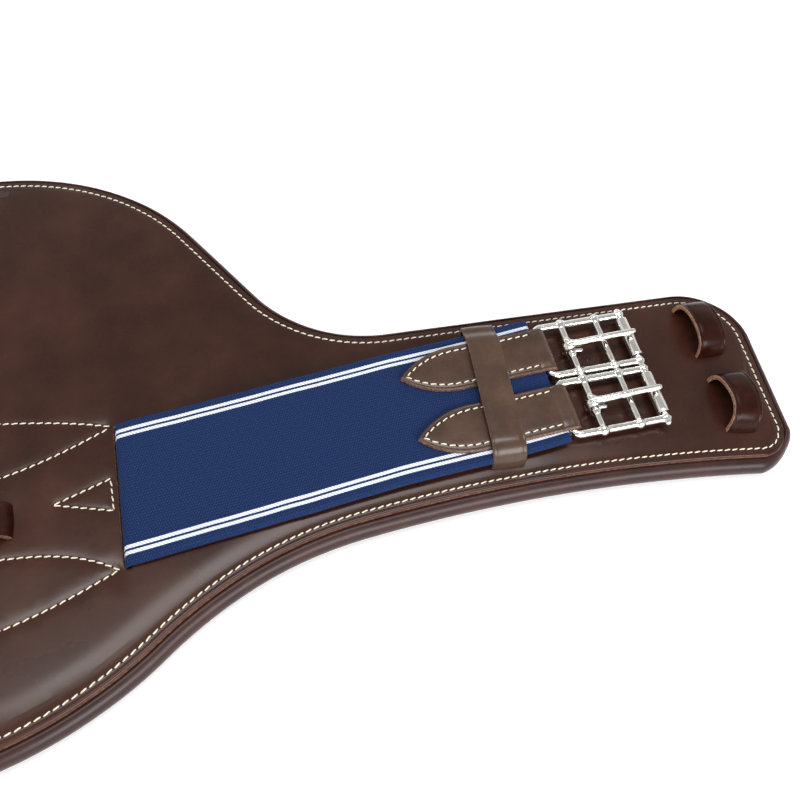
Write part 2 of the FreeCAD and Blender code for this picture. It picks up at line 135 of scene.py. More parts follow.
# Bridle leather: vegetable-tanned cowhide, curried with grease and glazed smooth. It shows almost no
# grain, a soft broad sheen, faint clouds where the dye took unevenly, and a few handling marks.
def leather(name, finish):
    material, tree, shader = newMaterial(name, {
        "IOR": 1.5, "Specular IOR Level": finish["shine"], "Coat Weight": finish["glaze"],
        "Coat Roughness": finish["glazeRoughness"]})
    place = addNode(tree, "ShaderNodeTexCoord").outputs["Object"]
    clouds = addNode(tree, "ShaderNodeTexNoise", {
        "Scale": 1 / (finish["cloud"] * mm), "Detail": 4.0, "Roughness": 0.6}, {"Vector": place})
    colour = addNode(tree, "ShaderNodeValToRGB", {"ramp": [
        (0.32, finish["deep"]), (0.52, finish["base"]), (0.72, finish["worn"])]},
        {"Fac": clouds.outputs["Fac"]})
    specks = addNode(tree, "ShaderNodeTexNoise", {
        "Scale": 1 / (finish["speck"] * mm), "Detail": 2.0}, {"Vector": place})
    speckShade = addNode(tree, "ShaderNodeMapRange", {
        "From Min": 0.3, "From Max": 0.75, "To Min": 0.9, "To Max": 1.07}, {"Value": specks.outputs["Fac"]})
    shaded = addNode(tree, "ShaderNodeVectorMath", {"operation": "SCALE"}, {
        0: colour.outputs["Color"], "Scale": speckShade.outputs["Result"]})
    gloss = addNode(tree, "ShaderNodeMapRange", {
        "From Min": 0.3, "From Max": 0.7, "To Min": finish["roughness"] - 0.02,
        "To Max": finish["roughness"] + 0.03}, {"Value": clouds.outputs["Fac"]})
    # Hair-cell grain is about 0.15 mm across: drawn coarser, at the grain size below, so that it shows.
    grain = addNode(tree, "ShaderNodeTexVoronoi", {
        "Scale": 1 / (finish["grain"] * mm), "feature": "SMOOTH_F1"}, {"Vector": place})
    grainBump = addNode(tree, "ShaderNodeBump", {
        "Strength": finish["grainStrength"], "Distance": 0.05 * mm}, {"Height": grain.outputs["Distance"]})
    ripple = addNode(tree, "ShaderNodeTexNoise", {
        "Scale": 1 / (finish["ripple"] * mm), "Detail": 2.0}, {"Vector": place})
    rippleBump = addNode(tree, "ShaderNodeBump", {
        "Strength": finish["rippleStrength"], "Distance": 0.3 * mm},
        {"Height": ripple.outputs["Fac"], "Normal": grainBump.outputs["Normal"]})
    tree.links.new(shaded.outputs["Vector"], shader.inputs["Base Color"])
    tree.links.new(gloss.outputs["Result"], shader.inputs["Roughness"])
    tree.links.new(rippleBump.outputs["Normal"], shader.inputs["Normal"])
    return material


panelLeather = leather("glazedBridleLeather", {
    "base": "#351B12", "deep": "#2D160E", "worn": "#3F2318", "cloud": 38.0, "speck": 1.6, "grain": 0.7,
    "grainStrength": 0.04, "ripple": 9.0, "rippleStrength": 0.06, "roughness": 0.27, "shine": 0.28,
    "glaze": 0.06, "glazeRoughness": 0.2})
liningLeather = leather("softGloveLining", {   # thin chrome-tanned skin: more gloss, fine wrinkles
    "base": "#321A17", "deep": "#281411", "worn": "#3C221E", "cloud": 22.0, "speck": 1.2, "grain": 0.9,
    "grainStrength": 0.25, "ripple": 5.0, "rippleStrength": 0.18, "roughness": 0.38, "shine": 0.30,
    "glaze": 0.06, "glazeRoughness": 0.2})
strapLeather = leather("strapBridleLeather", {
    "base": "#463023", "deep": "#3A271C", "worn": "#523A2C", "cloud": 16.0, "speck": 1.3, "grain": 0.7,
    "grainStrength": 0.12, "ripple": 5.0, "rippleStrength": 0.12, "roughness": 0.34, "shine": 0.35,
    "glaze": 0.2, "glazeRoughness": 0.16})
loopLeather = leather("polishedLoopLeather", {   # burnished while damp, so it is darker and shinier
    "base": "#2A0F07", "deep": "#200A04", "worn": "#38180D", "cloud": 9.0, "speck": 1.0, "grain": 0.8,
    "grainStrength": 0.12, "ripple": 3.0, "rippleStrength": 0.12, "roughness": 0.3, "shine": 0.12,
    "glaze": 0.06, "glazeRoughness": 0.14})


# Cut leather edge, dyed and burnished: the fibres show as a lighter, duller red-brown band.
def cutEdge(name, finish):
    material, tree, shader = newMaterial(name, {"Roughness": 0.55, "IOR": 1.5})
    place = addNode(tree, "ShaderNodeTexCoord").outputs["Object"]
    fibres = addNode(tree, "ShaderNodeTexNoise", {
        "Scale": 1 / (finish["fibre"] * mm), "Detail": 3.0}, {"Vector": place})
    colour = addNode(tree, "ShaderNodeValToRGB", {"ramp": [
        (0.3, finish["dark"]), (0.5, finish["base"]), (0.75, finish["bright"])]},
        {"Fac": fibres.outputs["Fac"]})
    bump = addNode(tree, "ShaderNodeBump", {"Strength": 0.4, "Distance": 0.1 * mm},
                   {"Height": fibres.outputs["Fac"]})
    tree.links.new(colour.outputs["Color"], shader.inputs["Base Color"])
    tree.links.new(bump.outputs["Normal"], shader.inputs["Normal"])
    return material


panelEdge = cutEdge("burnishedPanelEdge", {
    "fibre": 1.5, "dark": "#4A2D20", "base": "#6C4637", "bright": "#96633F"})
strapEdge = cutEdge("burnishedStrapEdge", {
    "fibre": 1.2, "dark": "#46302A", "base": "#6B4E42", "bright": "#94745F"})
loopEdge = cutEdge("rawLoopEdge", {
    "fibre": 1.0, "dark": "#6A4332", "base": "#96705A", "bright": "#B89478"})


# Girth elastic: rubber cores under a ribbed navy warp, with twisted white yarns for the stripes.
# The ribs run along the strap; the weft shows as small dots between them.
webbing = {
    "width": 75.0, "rib": 1.42, "pick": 1.3, "shrink": 0.2, "gap": 0.1, "border": 4.4, "stripe": 1.75,
    "stripeGap": 1.15, "edgeZone": 12.0, "twist": 2.6, "navy": "#183263", "navyDeep": "#0E2043",
    "white": "#ECEEF0", "whiteDeep": "#BCC8DA"}


def stripedElastic(name):
    material, tree, shader = newMaterial(name, {
        "Roughness": 0.8, "Sheen Weight": 0.25, "Sheen Roughness": 0.4, "IOR": 1.45,
        "Specular IOR Level": 0.25})
    shader.inputs["Sheen Tint"].default_value = toLinear("#5C7FC0")
    cut = addNode(tree, "ShaderNodeUVMap", {"uv_map": "cut"}).outputs["UV"]
    across = addNode(tree, "ShaderNodeSeparateXYZ", {}, {"Vector": cut}).outputs["Y"]
    # Each rib's picks sit half a pitch from its neighbour's, like courses of bricks.
    shrink = webbing["shrink"]
    picks = addNode(tree, "ShaderNodeTexBrick", {
        "offset": 0.5, "Scale": shrink, "Brick Width": webbing["pick"] * shrink,
        "Row Height": webbing["rib"] * shrink, "Mortar Size": webbing["gap"], "Mortar Smooth": 1.0},
        {"Vector": cut})
    hump = addNode(tree, "ShaderNodeMapRange", {"To Min": 1.0, "To Max": 0.0},
                   {"Value": picks.outputs["Fac"]})
    navy = addNode(tree, "ShaderNodeValToRGB", {"ramp": [
        (0.0, webbing["navyDeep"]), (0.75, webbing["navy"])]}, {"Fac": hump.outputs["Result"]})
    fuzz = addNode(tree, "ShaderNodeTexNoise", {"Scale": 0.9, "Detail": 3.0}, {"Vector": cut})
    fade = addNode(tree, "ShaderNodeMapRange", {
        "From Min": 0.3, "From Max": 0.7, "To Min": 0.72, "To Max": 1.1}, {"Value": fuzz.outputs["Fac"]})
    faded = addNode(tree, "ShaderNodeVectorMath", {"operation": "SCALE"}, {
        0: navy.outputs["Color"], "Scale": fade.outputs["Result"]})
    # Two white lines near each edge, by how far in from the edge a yarn lies.
    fromMiddle = addNode(tree, "ShaderNodeMath", {"operation": "ABSOLUTE"}, {0: across})
    half, zone = webbing["width"] / 2, webbing["edgeZone"]
    inward = addNode(tree, "ShaderNodeMapRange", {
        "From Min": half, "From Max": half - zone}, {"Value": fromMiddle.outputs["Value"]})
    first = webbing["border"]
    second = first + webbing["stripe"] + webbing["stripeGap"]
    lines = addNode(tree, "ShaderNodeValToRGB", {"interpolation": "CONSTANT", "ramp": [
        (0.0, "#000000"), (first / zone, "#FFFFFF"), ((first + webbing["stripe"]) / zone, "#000000"),
        (second / zone, "#FFFFFF"), ((second + webbing["stripe"]) / zone, "#000000")]},
        {"Fac": inward.outputs["Result"]})
    twist = addNode(tree, "ShaderNodeTexWave", {
        "Scale": 1 / webbing["twist"], "bands_direction": "DIAGONAL"}, {"Vector": cut})
    white = addNode(tree, "ShaderNodeValToRGB", {"ramp": [
        (0.1, webbing["whiteDeep"]), (0.55, webbing["white"])]}, {"Fac": twist.outputs["Fac"]})
    colour = addNode(tree, "ShaderNodeMix", {"data_type": "RGBA"}, {
        0: lines.outputs["Color"], 6: faded.outputs["Vector"], 7: white.outputs["Color"]})
    relief = addNode(tree, "ShaderNodeMix", {"data_type": "FLOAT"}, {
        0: lines.outputs["Color"], 2: hump.outputs["Result"], 3: twist.outputs["Fac"]})
    bump = addNode(tree, "ShaderNodeBump", {"Strength": 0.8, "Distance": 0.35 * mm},
                   {"Height": relief.outputs[0]})
    tree.links.new(colour.outputs[2], shader.inputs["Base Color"])
    tree.links.new(bump.outputs["Normal"], shader.inputs["Normal"])
    return material


elasticWeave = stripedElastic("ribbedGirthElastic")


# Waxed linen thread, two strands twisted together: matt cream with a diagonal lay.
def linenThread(name, finish):
    material, tree, shader = newMaterial(name, {"Roughness": 0.62, "Sheen Weight": 0.2, "IOR": 1.47})
    lay = addNode(tree, "ShaderNodeUVMap", {"uv_map": "cut"})
    strands = addNode(tree, "ShaderNodeTexWave", {
        "Scale": 1 / finish["strand"], "bands_direction": "DIAGONAL", "Distortion": 0.4},
        {"Vector": lay.outputs["UV"]})
    colour = addNode(tree, "ShaderNodeValToRGB", {"ramp": [
        (0.0, finish["shade"]), (0.6, finish["base"])]}, {"Fac": strands.outputs["Fac"]})
    bump = addNode(tree, "ShaderNodeBump", {"Strength": 0.6, "Distance": 0.12 * mm},
                   {"Height": strands.outputs["Fac"]})
    tree.links.new(colour.outputs["Color"], shader.inputs["Base Color"])
    tree.links.new(bump.outputs["Normal"], shader.inputs["Normal"])
    return material


creamThread = linenThread("waxedLinenThread", {"strand": 4.5, "base": "#F4EBD8", "shade": "#CBB897"})


# Awl holes: painted shade, a dark colour put where each stitch goes down into its hole.
def awlShade(name):
    material, tree, shader = newMaterial(name, {"Roughness": 0.8})
    place = addNode(tree, "ShaderNodeTexCoord").outputs["Object"]
    grit = addNode(tree, "ShaderNodeTexNoise", {"Scale": 1 / (0.8 * mm)}, {"Vector": place})
    # painted shade: the near-black browns stand in for the shadow down each awl hole
    colour = addNode(tree, "ShaderNodeValToRGB", {"ramp": [
        (0.3, "#0E0806"), (0.7, "#20130E")]}, {"Fac": grit.outputs["Fac"]})
    tree.links.new(colour.outputs["Color"], shader.inputs["Base Color"])
    return material


paintedHoleShade = awlShade("paintedHoleShade")


# Stainless steel, cast and barrel polished: bright, with a very slight ripple and hairline smears.
def polishedSteel(name):
    material, tree, shader = newMaterial(name, {"Metallic": 1.0})
    place = addNode(tree, "ShaderNodeTexCoord").outputs["Object"]
    smears = addNode(tree, "ShaderNodeTexNoise", {"Scale": 1 / (2.5 * mm), "Detail": 4.0}, {"Vector": place})
    colour = addNode(tree, "ShaderNodeValToRGB", {"ramp": [
        (0.3, "#E2E1DC"), (0.7, "#F4F2EB")]}, {"Fac": smears.outputs["Fac"]})
    gloss = addNode(tree, "ShaderNodeMapRange", {"To Min": 0.11, "To Max": 0.18},
                    {"Value": smears.outputs["Fac"]})
    castRipple = addNode(tree, "ShaderNodeTexNoise", {"Scale": 1 / (3.0 * mm), "Detail": 1.0},
                         {"Vector": place})
    bump = addNode(tree, "ShaderNodeBump", {"Strength": 0.06, "Distance": 0.15 * mm},
                   {"Height": castRipple.outputs["Fac"]})
    tree.links.new(colour.outputs["Color"], shader.inputs["Base Color"])
    tree.links.new(gloss.outputs["Result"], shader.inputs["Roughness"])
    tree.links.new(bump.outputs["Normal"], shader.inputs["Normal"])
    return material


buckleSteel = polishedSteel("polishedStainless")


# Undyed cotton webbing, plain woven, hidden inside the girth.
def cottonWeb(name):
    material, tree, shader = newMaterial(name, {"Roughness": 0.9})
    place = addNode(tree, "ShaderNodeTexCoord").outputs["Object"]
    yarns = addNode(tree, "ShaderNodeTexWave", {"Scale": 1 / (6.0 * mm), "Distortion": 0.5},
                    {"Vector": place})
    picks = addNode(tree, "ShaderNodeTexWave", {
        "Scale": 1 / (6.0 * mm), "bands_direction": "Y", "Distortion": 0.5}, {"Vector": place})
    woven = addNode(tree, "ShaderNodeMath", {"operation": "MULTIPLY"}, {
        0: yarns.outputs["Fac"], 1: picks.outputs["Fac"]})
    colour = addNode(tree, "ShaderNodeValToRGB", {"ramp": [
        (0.0, "#8E8670"), (0.7, "#D8D0B8")]}, {"Fac": woven.outputs["Value"]})
    bump = addNode(tree, "ShaderNodeBump", {"Distance": 0.2 * mm}, {"Height": woven.outputs["Value"]})
    tree.links.new(colour.outputs["Color"], shader.inputs["Base Color"])
    tree.links.new(bump.outputs["Normal"], shader.inputs["Normal"])
    return material


print("materials made")


# The girth's outline: the lining's rolled edge, walked clockwise from the middle of the belly plate's
# top. Each step is a radius and a turn in degrees, or a length: -1 bends round the girth, +1 hollows
# it, 0 is straight.
liningHigh = boxOf("lining")[1]
outline = {
    "plateTop": liningHigh.y,
    "spacing": 2.0,
    "steps": [
        (480.0, 5.8, -1),    # top of the plate
        (130.0, 53.9, -1),   # plate corner
        (59.2, 0.0, 0),      # side of the plate
        (77.8, 57.7, 1),     # waist
        (165.0, 0.0, 0),     # rear edge of the arm
        (37.2, 92.8, -1),    # arm end
        (56.0, 0.0, 0),
        (20.0, 94.6, -1),
        (843.0, 14.2, 1),    # front edge of the arm
        (194.4, 31.0, 1),    # elbow
    ],
}


def walkOutline(inset, shift=0.0):
    # Points all round, clockwise, each as (x, y, how tightly the corner turns). Every inset has the
    # same number of points, so rings at two insets join square to square.
    x, y, heading = 0.0, outline["plateTop"] - inset + shift, 0.0
    half = [(x, y, 0.0)]

    def addArc(radius, turn, bend, baseRadius):
        nonlocal x, y, heading
        centreX = x - bend * math.sin(heading) * radius
        centreY = y + bend * math.cos(heading) * radius
        count = max(3, round(baseRadius * turn / outline["spacing"]))
        tight = 1.0 if bend < 0 and baseRadius < 60 else 0.0
        for i in range(1, count + 1):
            angle = heading + bend * turn * i / count
            half.append((centreX + bend * math.sin(angle) * radius,
                         centreY - bend * math.cos(angle) * radius,
                         tight * math.sin(math.pi * i / count)))
        x, y = half[-1][:2]
        heading += bend * turn

    for size, turn, bend in outline["steps"]:
        if bend:
            addArc(size + bend * inset, math.radians(turn), bend, size)
        else:
            count = round(size / outline["spacing"])
            for i in range(1, count + 1):
                half.append((x + size * i / count * math.cos(heading),
                             y + size * i / count * math.sin(heading), 0.0))
            x, y = half[-1][:2]
    bulge = -x / math.sin(heading)   # the front bulge closes on the centre line
    addArc(bulge, math.pi + heading, -1, bulge)
    half[-1] = (0.0, half[-1][1], 0.0)
    return half + [(-px, py, tight) for px, py, tight in reversed(half[1:-1])]


def flatTree(points):
    # Finds the nearest of some points, seen from above.
    tree = kdtree.KDTree(max(1, len(points)))
    for i, p in enumerate(points):
        tree.insert((p[0], p[1], 0), i)
    tree.balance()
    return tree


def insideRing(points, ring):
    # Even-odd test of many points against a closed ring.
    a = np.array(ring, float)
    b = np.roll(a, -1, axis=0)
    px, py = points[:, 0:1], points[:, 1:2]
    rise = np.where(a[:, 1] == b[:, 1], 1e-12, b[:, 1] - a[:, 1])
    crossX = a[:, 0] + (py - a[:, 1]) * (b[:, 0] - a[:, 0]) / rise
    hits = ((a[:, 1] > py) != (b[:, 1] > py)) & (px < crossX)
    return hits.sum(axis=1) % 2 == 1


def fillRing(ring, holes, grid, extra=()):
    # Triangles between a ring and its holes, on a hexagonal grid plus any extra points.
    ringPoints = np.array([p[:2] for p in ring], float)
    low, high = ringPoints.min(0), ringPoints.max(0)
    candidates = []
    for j, gy in enumerate(np.arange(low[1], high[1], grid * 0.866)):
        for gx in np.arange(low[0] + (j % 2) * grid / 2, high[0], grid):
            candidates.append((gx, gy))
    allRings = [ringPoints] + [np.array([p[:2] for p in hole], float) for hole in holes]
    edgeTree = flatTree(np.vstack(allRings))
    extra = [p for p in extra if edgeTree.find((p[0], p[1], 0))[2] > 0.6]
    extraTree = flatTree(extra)
    clear = [p for p in candidates if edgeTree.find((p[0], p[1], 0))[2] > grid * 0.55
             and (not extra or extraTree.find((p[0], p[1], 0))[2] > grid * 0.5)]
    free = np.array(clear + list(extra), float).reshape(-1, 2)
    keep = insideRing(free, allRings[0])
    for hole in allRings[1:]:
        keep &= ~insideRing(free, hole)
    points = np.vstack(allRings + [free[keep]])
    edges = []
    first = 0
    for r in allRings:
        edges += [(first + i, first + (i + 1) % len(r)) for i in range(len(r))]
        first += len(r)
    made = geometry.delaunay_2d_cdt([Vector(p) for p in points], edges, [], 0, 1e-6)
    out = np.array([tuple(p) for p in made[0]], float)
    triangles = np.array([f for f in made[2] if len(f) == 3], int)
    middles = out[triangles].mean(axis=1)
    keep = insideRing(middles, allRings[0])
    for hole in allRings[1:]:
        keep &= ~insideRing(middles, hole)
    return out, triangles[keep]


def bridgeRings(rings):
    # Faces between rings that have the same number of points.
    count = len(rings[0])
    faces = []
    for r in range(len(rings) - 1):
        a, b = r * count, (r + 1) * count
        for i in range(count):
            j = (i + 1) % count
            faces.append((a + i, a + j, b + j, b + i))
    return faces


elasticHigh = boxOf("elastic_right")[1]
panelHigh = boxOf("outer_panel")[1]
panelInset = liningHigh.x - panelHigh.x    # rolled edge to the panel's cut edge, on average
panelShift = panelHigh.y - liningHigh.y + panelInset    # the panel sits towards the plate

# At each point of the outline: the way inwards, and how squarely the edge there faces the front.
rolledEdge = walkOutline(0.0)
inward = [(b[0] - a[0], b[1] - a[1]) for a, b in zip(rolledEdge, walkOutline(1.0))]
frontShare = []
for inwardX, inwardY in inward:
    share = min(1.0, max(0.0, (inwardY + 0.25) / 0.95))
    frontShare.append(share * share * (3 - 2 * share))


# Lining: a padded tray with a rolled edge.
lining = {
    "top": 9.0,           # under the panel
    "underPanel": 13.0,   # inset where the flat inside begins
    "roundness": 5.5,     # radius of the roll
    "crease": 6.3,        # inset of the stitched crease, in the section below
    "tuck": 0.4,          # from the panel's cut edge in to the crease
    "rearLift": 3.2,      # the roll stands higher along the plate
    "frontCorner": 2.6,   # the skin is drawn in tight round the front corner
    "creaseHeight": 8.6,
    "wrinkle": 0.22,      # at the tight corners, where the skin gathers
    "grid": 9.0,
}


def rollSection():
    # (inset, height, share of the wrinkle) over the roll, from the crease to the flat underside.
    radius = lining["roundness"]
    points = [(lining["underPanel"], lining["top"], 0.0), (9.0, 8.7, 0.0), (7.2, 8.4, 0.0),
              (6.6, lining["creaseHeight"] - 0.2, 0.1), (lining["crease"], lining["creaseHeight"], 0.3),
              (6.0, 9.3, 0.5), (5.75, 9.9, 0.7), (5.4, 10.4, 0.9), (5.0, 10.75, 1.0)]
    for step in range(0, 17):
        angle = math.radians(82 - step * 172 / 16)
        points.append((radius - radius * math.cos(angle), radius + radius * math.sin(angle), 1.0))
    points += [(7.5, 0.0, 0.2), (lining["underPanel"], 0.0, 0.0)]
    return points


def wrinkleAt(x, y, height):
    fold = noise.noise(Vector((x / 3.2, y / 3.2, height / 9.0)))
    return fold + 0.5 * noise.noise(Vector((x, y, height)) / 1.7)


liningRings = []
for inset, height, share in rollSection():
    ring = []
    above = height > lining["roundness"]
    for (x, y, tight), (inwardX, inwardY), front in zip(rolledEdge, inward, frontShare):
        # Above its widest point the roll is squeezed to end at the panel's edge.
        reach = inset
        if above:
            reach *= (panelInset + panelShift * inwardY + lining["tuck"]) / lining["crease"]
        reach += lining["frontCorner"] * tight * front * (1 - reach / lining["underPanel"])
        x, y = x + inwardX * reach, y + inwardY * reach
        swell = 0.28 * noise.noise(Vector((x / 26, y / 26, 1.5))) * share   # hand rolled, never quite even
        gather = lining["wrinkle"] * tight * wrinkleAt(x, y, height) * share
        lift = lining["rearLift"] * (1 - front) * min(1.0, max(0.0, height / lining["roundness"] - 1) * 2)
        ring.append((x, y, max(0.0, height + lift + (swell + gather) * (1 if height > 3 else 0))))
    liningRings.append(ring)
liningPoints = [p for ring in liningRings for p in ring]
liningFaces = bridgeRings(liningRings)
for level, flip in ((0, False), (len(liningRings) - 1, True)):
    rim = liningRings[level]
    inner, triangles = fillRing(rim, [], lining["grid"])
    base = len(liningPoints)
    liningPoints += [(x, y, rim[0][2]) for x, y in inner]
    liningFaces += [tuple(base + i for i in (t[::-1] if flip else t)) for t in triangles]
liningSkin = makePiece("lining_roll", liningPoints, liningFaces, [liningLeather])
cleanUp(liningSkin)
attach(liningSkin, "girth")
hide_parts("lining", "foam_pad")
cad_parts["load_web"].data.materials.clear()
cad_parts["load_web"].data.materials.append(cottonWeb("cottonLoadWeb"))
print("lining done:", len(liningSkin.data.vertices), "points")


# Outer panel, with a slot at each end that the elastic comes out of.
panel = {
    "top": panelHigh.z,
    "thickness": 3.6,
    "frontDrop": 3.0,      # the front edge is pulled down round the padding, for the elbows
    "rearDrop": 0.6,
    "dropWidth": 17.0,
    "rearThickness": 1.0,  # more of the edge shows along the plate, where nothing pulls it down
    "swell": 0.35,
    "stitchInset": 4.0,    # cut edge to the stitching
    "creaseInset": 1.7,
    "seamGroove": 0.42, "seamGrooveWidth": 1.5,    # the thread bites in
    "seamHollow": 0.12, "seamHollowWidth": 4.0,    # and draws the leather down around it
    "grid": 3.6,
    "slotStart": 95.0,     # the cut that the elastic comes out of
    "slotLength": 3.6,
    "slotHalf": 37.9,
}

panelRim = walkOutline(panelInset, panelShift)
rimDrop = [panel["rearDrop"] + (panel["frontDrop"] - panel["rearDrop"]) * share for share in frontShare]
rimTree = flatTree(panelRim)


# Decorative and holding seams on each side of the slot: y = level + bow * (x / 100) ** power.
seamCurves = [
    {"level": 53.4, "bow": -16.6, "power": 2, "end": 93.6},
    {"level": 15.8, "bow": 25.8, "power": 2, "end": 92.4},
    {"level": -21.0, "bow": -22.0, "power": 4, "end": 93.2},
    {"level": -58.8, "bow": 25.1, "power": 2, "end": 92.4},
]
triangleSeam = [(65.2, 0.9), (92.0, 9.6), (92.4, -7.6), (65.2, 0.9)]


def seamLine(curve, count=160):
    # Across both halves in one line, bowed about the middle.
    line = []
    for i in range(count + 1):
        x = curve["end"] * (2 * i / count - 1)
        line.append((x, curve["level"] + curve["bow"] * abs(x / 100) ** curve["power"]))
    return line


def evenPoints(line, spacing):
    # Points at an even spacing along a line, each with the direction there.
    points = np.array(line, float)
    steps = np.linalg.norm(np.diff(points, axis=0), axis=1)
    run = np.concatenate([[0], np.cumsum(steps)])
    count = max(1, round(run[-1] / spacing))
    marks = run[-1] * (np.arange(count) + 0.5) / count
    made = []
    for mark in marks:
        i = min(len(steps) - 1, np.searchsorted(run, mark, side="right") - 1)
        share = (mark - run[i]) / steps[i]
        made.append((points[i] + (points[i + 1] - points[i]) * share, (points[i + 1] - points[i]) / steps[i]))
    return made


seamLines = [seamLine(curve) for curve in seamCurves]
for side in (1, -1):
    seamLines.append([(side * x, y) for x, y in triangleSeam])
seamMarks = [point for line in seamLines for point, direction in evenPoints(line, 2.0)]
seamTree = flatTree(seamMarks)
seamBeds = []
for line in seamLines:
    for point, direction in evenPoints(line, 2.2):
        for offset in (-3.2, -1.3, 0.0, 1.3, 3.2):
            seamBeds.append((point[0] - direction[1] * offset, point[1] + direction[0] * offset))

# Places where a seam's end or a strap's foot pulls the leather in: x, y, radius and depth.
dimples = []
for side in (1, -1):
    dimples += [(side * 91.0, 38.5, 6.0, 0.5), (side * 91.0, -39.0, 6.0, 0.7),
                (side * 412.0, 17.0, 8.0, 0.5), (side * 411.0, -31.0, 8.0, 0.6),
                (side * 411.0, 50.0, 8.0, 0.4), (side * 286.0, -29.0, 9.0, 0.5)]
for side in (1, -1):
    dimples.append((side * 46.0, -3.5, 10.0, 0.7))


def surfaceHeight(x, y, edgeDistance=None):
    # The panel's top: crowned to its edge, puckered along the seams, never quite flat.
    nearest, nearDistance = rimTree.find((x, y, 0))[1:]
    if edgeDistance is None:
        edgeDistance = nearDistance
    slope = max(0.0, 1 - edgeDistance / panel["dropWidth"])
    height = panel["top"] - rimDrop[nearest] * slope ** 2
    away = min(1.0, edgeDistance / 40)
    height += away * panel["swell"] * (noise.noise(Vector((x / 85, y / 60, 0.3))) - 0.4)
    seam = seamTree.find((x, y, 0))[2]
    height -= (panel["seamGroove"] * math.exp(-(seam / panel["seamGrooveWidth"]) ** 2)
               + panel["seamHollow"] * math.exp(-(seam / panel["seamHollowWidth"]) ** 2))
    for dx, dy, radius, depth in dimples:
        reach = ((x - dx) ** 2 + (y - dy) ** 2) / radius ** 2
        if reach < 9:
            height -= depth * math.exp(-reach)
    return height


# (distance in from the cut edge, drop below the surface there) over the bevel, crease and stitch bed.
panelSection = [
    (0.2, panel["thickness"]), (-0.35, panel["thickness"] - 0.2), (-0.4, panel["thickness"] - 0.8),
    (-0.25, 2.0), (-0.3, 1.9), (0.05, 0.95), (0.25, 0.5), (0.55, 0.14), (0.95, 0.0),
    (panel["creaseInset"] - 0.35, 0.0), (panel["creaseInset"], 0.16), (panel["creaseInset"] + 0.35, 0.0),
    (panel["stitchInset"] - 1.1, 0.0), (panel["stitchInset"] - 0.5, 0.14), (panel["stitchInset"], 0.3),
    (panel["stitchInset"] + 0.5, 0.14), (panel["stitchInset"] + 1.2, 0.0), (6.8, 0.0), (8.8, 0.0),
]
edgeBands = 6   # how many bands of the section, from the underside, are cut edge


def slotRing(side, grow):
    # A rounded rectangle round the elastic's slot, grown by some millimetres.
    cx = side * (panel["slotStart"] + panel["slotLength"] / 2)
    halfX, halfY, corner = panel["slotLength"] / 2 + grow, panel["slotHalf"] + grow, 1.2 + max(0.0, grow)
    ring = []
    for sx, sy, begin in ((1, 1, 0), (-1, 1, 90), (-1, -1, 180), (1, -1, 270)):
        for k in range(4):
            angle = math.radians(begin + 30 * k)
            ring.append((cx + sx * (halfX - corner) + corner * math.cos(angle),
                         sy * (halfY - corner) + corner * math.sin(angle)))
        length = 2 * (halfY - corner) if begin in (90, 270) else 2 * (halfX - corner)
        count = max(2, int(length / 2.0))
        nextX, nextY = (0, -sy) if begin in (90, 270) else (-sx, 0)
        fromX, fromY = ring[-1]
        for k in range(1, count):
            ring.append((fromX + nextX * length * k / count, fromY + nextY * length * k / count))
    return ring


# (growth of the slot, drop below the surface) down the slot's wall.
slotSection = [(1.6, 0.0), (0.7, 0.02), (0.3, 0.1), (0.1, 0.3), (0.0, 0.7), (0.0, 2.0),
               (0.2, panel["thickness"])]

panelRings = []
for distance, drop in panelSection:
    ring = []
    for (x, y, tight), front in zip(walkOutline(panelInset + distance, panelShift), frontShare):
        depth = drop * (1 + panel["rearThickness"] * (1 - front) / panel["thickness"]) if drop > 0.8 else drop
        ring.append((x, y, surfaceHeight(x, y, max(0.0, distance)) - depth))
    panelRings.append(ring)
panelPoints = [p for ring in panelRings for p in ring]
panelFaces = bridgeRings(panelRings)
ringSize = len(panelRings[0])
panelSlots = [1 if i // ringSize < edgeBands else 0 for i in range(len(panelFaces))]
slotOuter = [slotRing(side, slotSection[0][0]) for side in (1, -1)]
inner, triangles = fillRing(panelRings[-1], slotOuter, panel["grid"], seamBeds)
base = len(panelPoints)
panelPoints += [(x, y, surfaceHeight(x, y)) for x, y in inner]
panelFaces += [tuple(base + i for i in t) for t in triangles]
panelSlots += [0] * len(triangles)
for side in (1, -1):
    rings = []
    for grow, drop in slotSection:
        rings.append([(x, y, surfaceHeight(x, y) - drop) for x, y in slotRing(side, grow)])
    base = len(panelPoints)
    panelPoints += [p for ring in rings for p in ring]
    walls = bridgeRings(rings)
    panelFaces += [tuple(base + i for i in f) for f in walls]
    panelSlots += [1 if i // len(rings[0]) >= 2 else 0 for i in range(len(walls))]
slotInner = [slotRing(side, slotSection[-1][0]) for side in (1, -1)]
under, triangles = fillRing(panelRings[0], slotInner, 30.0)
base = len(panelPoints)
slotFloor = {(round(x, 3), round(y, 3)): surfaceHeight(x, y) - panel["thickness"]
             for r in slotInner for x, y in r}
rimFloor = {(round(x, 3), round(y, 3)): z for x, y, z in panelRings[0]}
for x, y in under:
    key = (round(x, 3), round(y, 3))
    height = rimFloor.get(key, slotFloor.get(key))
    panelPoints.append((x, y, surfaceHeight(x, y) - panel["thickness"] if height is None else height))
panelFaces += [tuple(base + i for i in t[::-1]) for t in triangles]
panelSlots += [1] * len(triangles)
outerPanel = makePiece("panel_leather", panelPoints, panelFaces, [panelLeather, panelEdge], panelSlots)
cleanUp(outerPanel)
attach(outerPanel, "girth")
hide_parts("outer_panel")
print("panel done:", len(outerPanel.data.vertices), "points")


# Straps share one sweep.

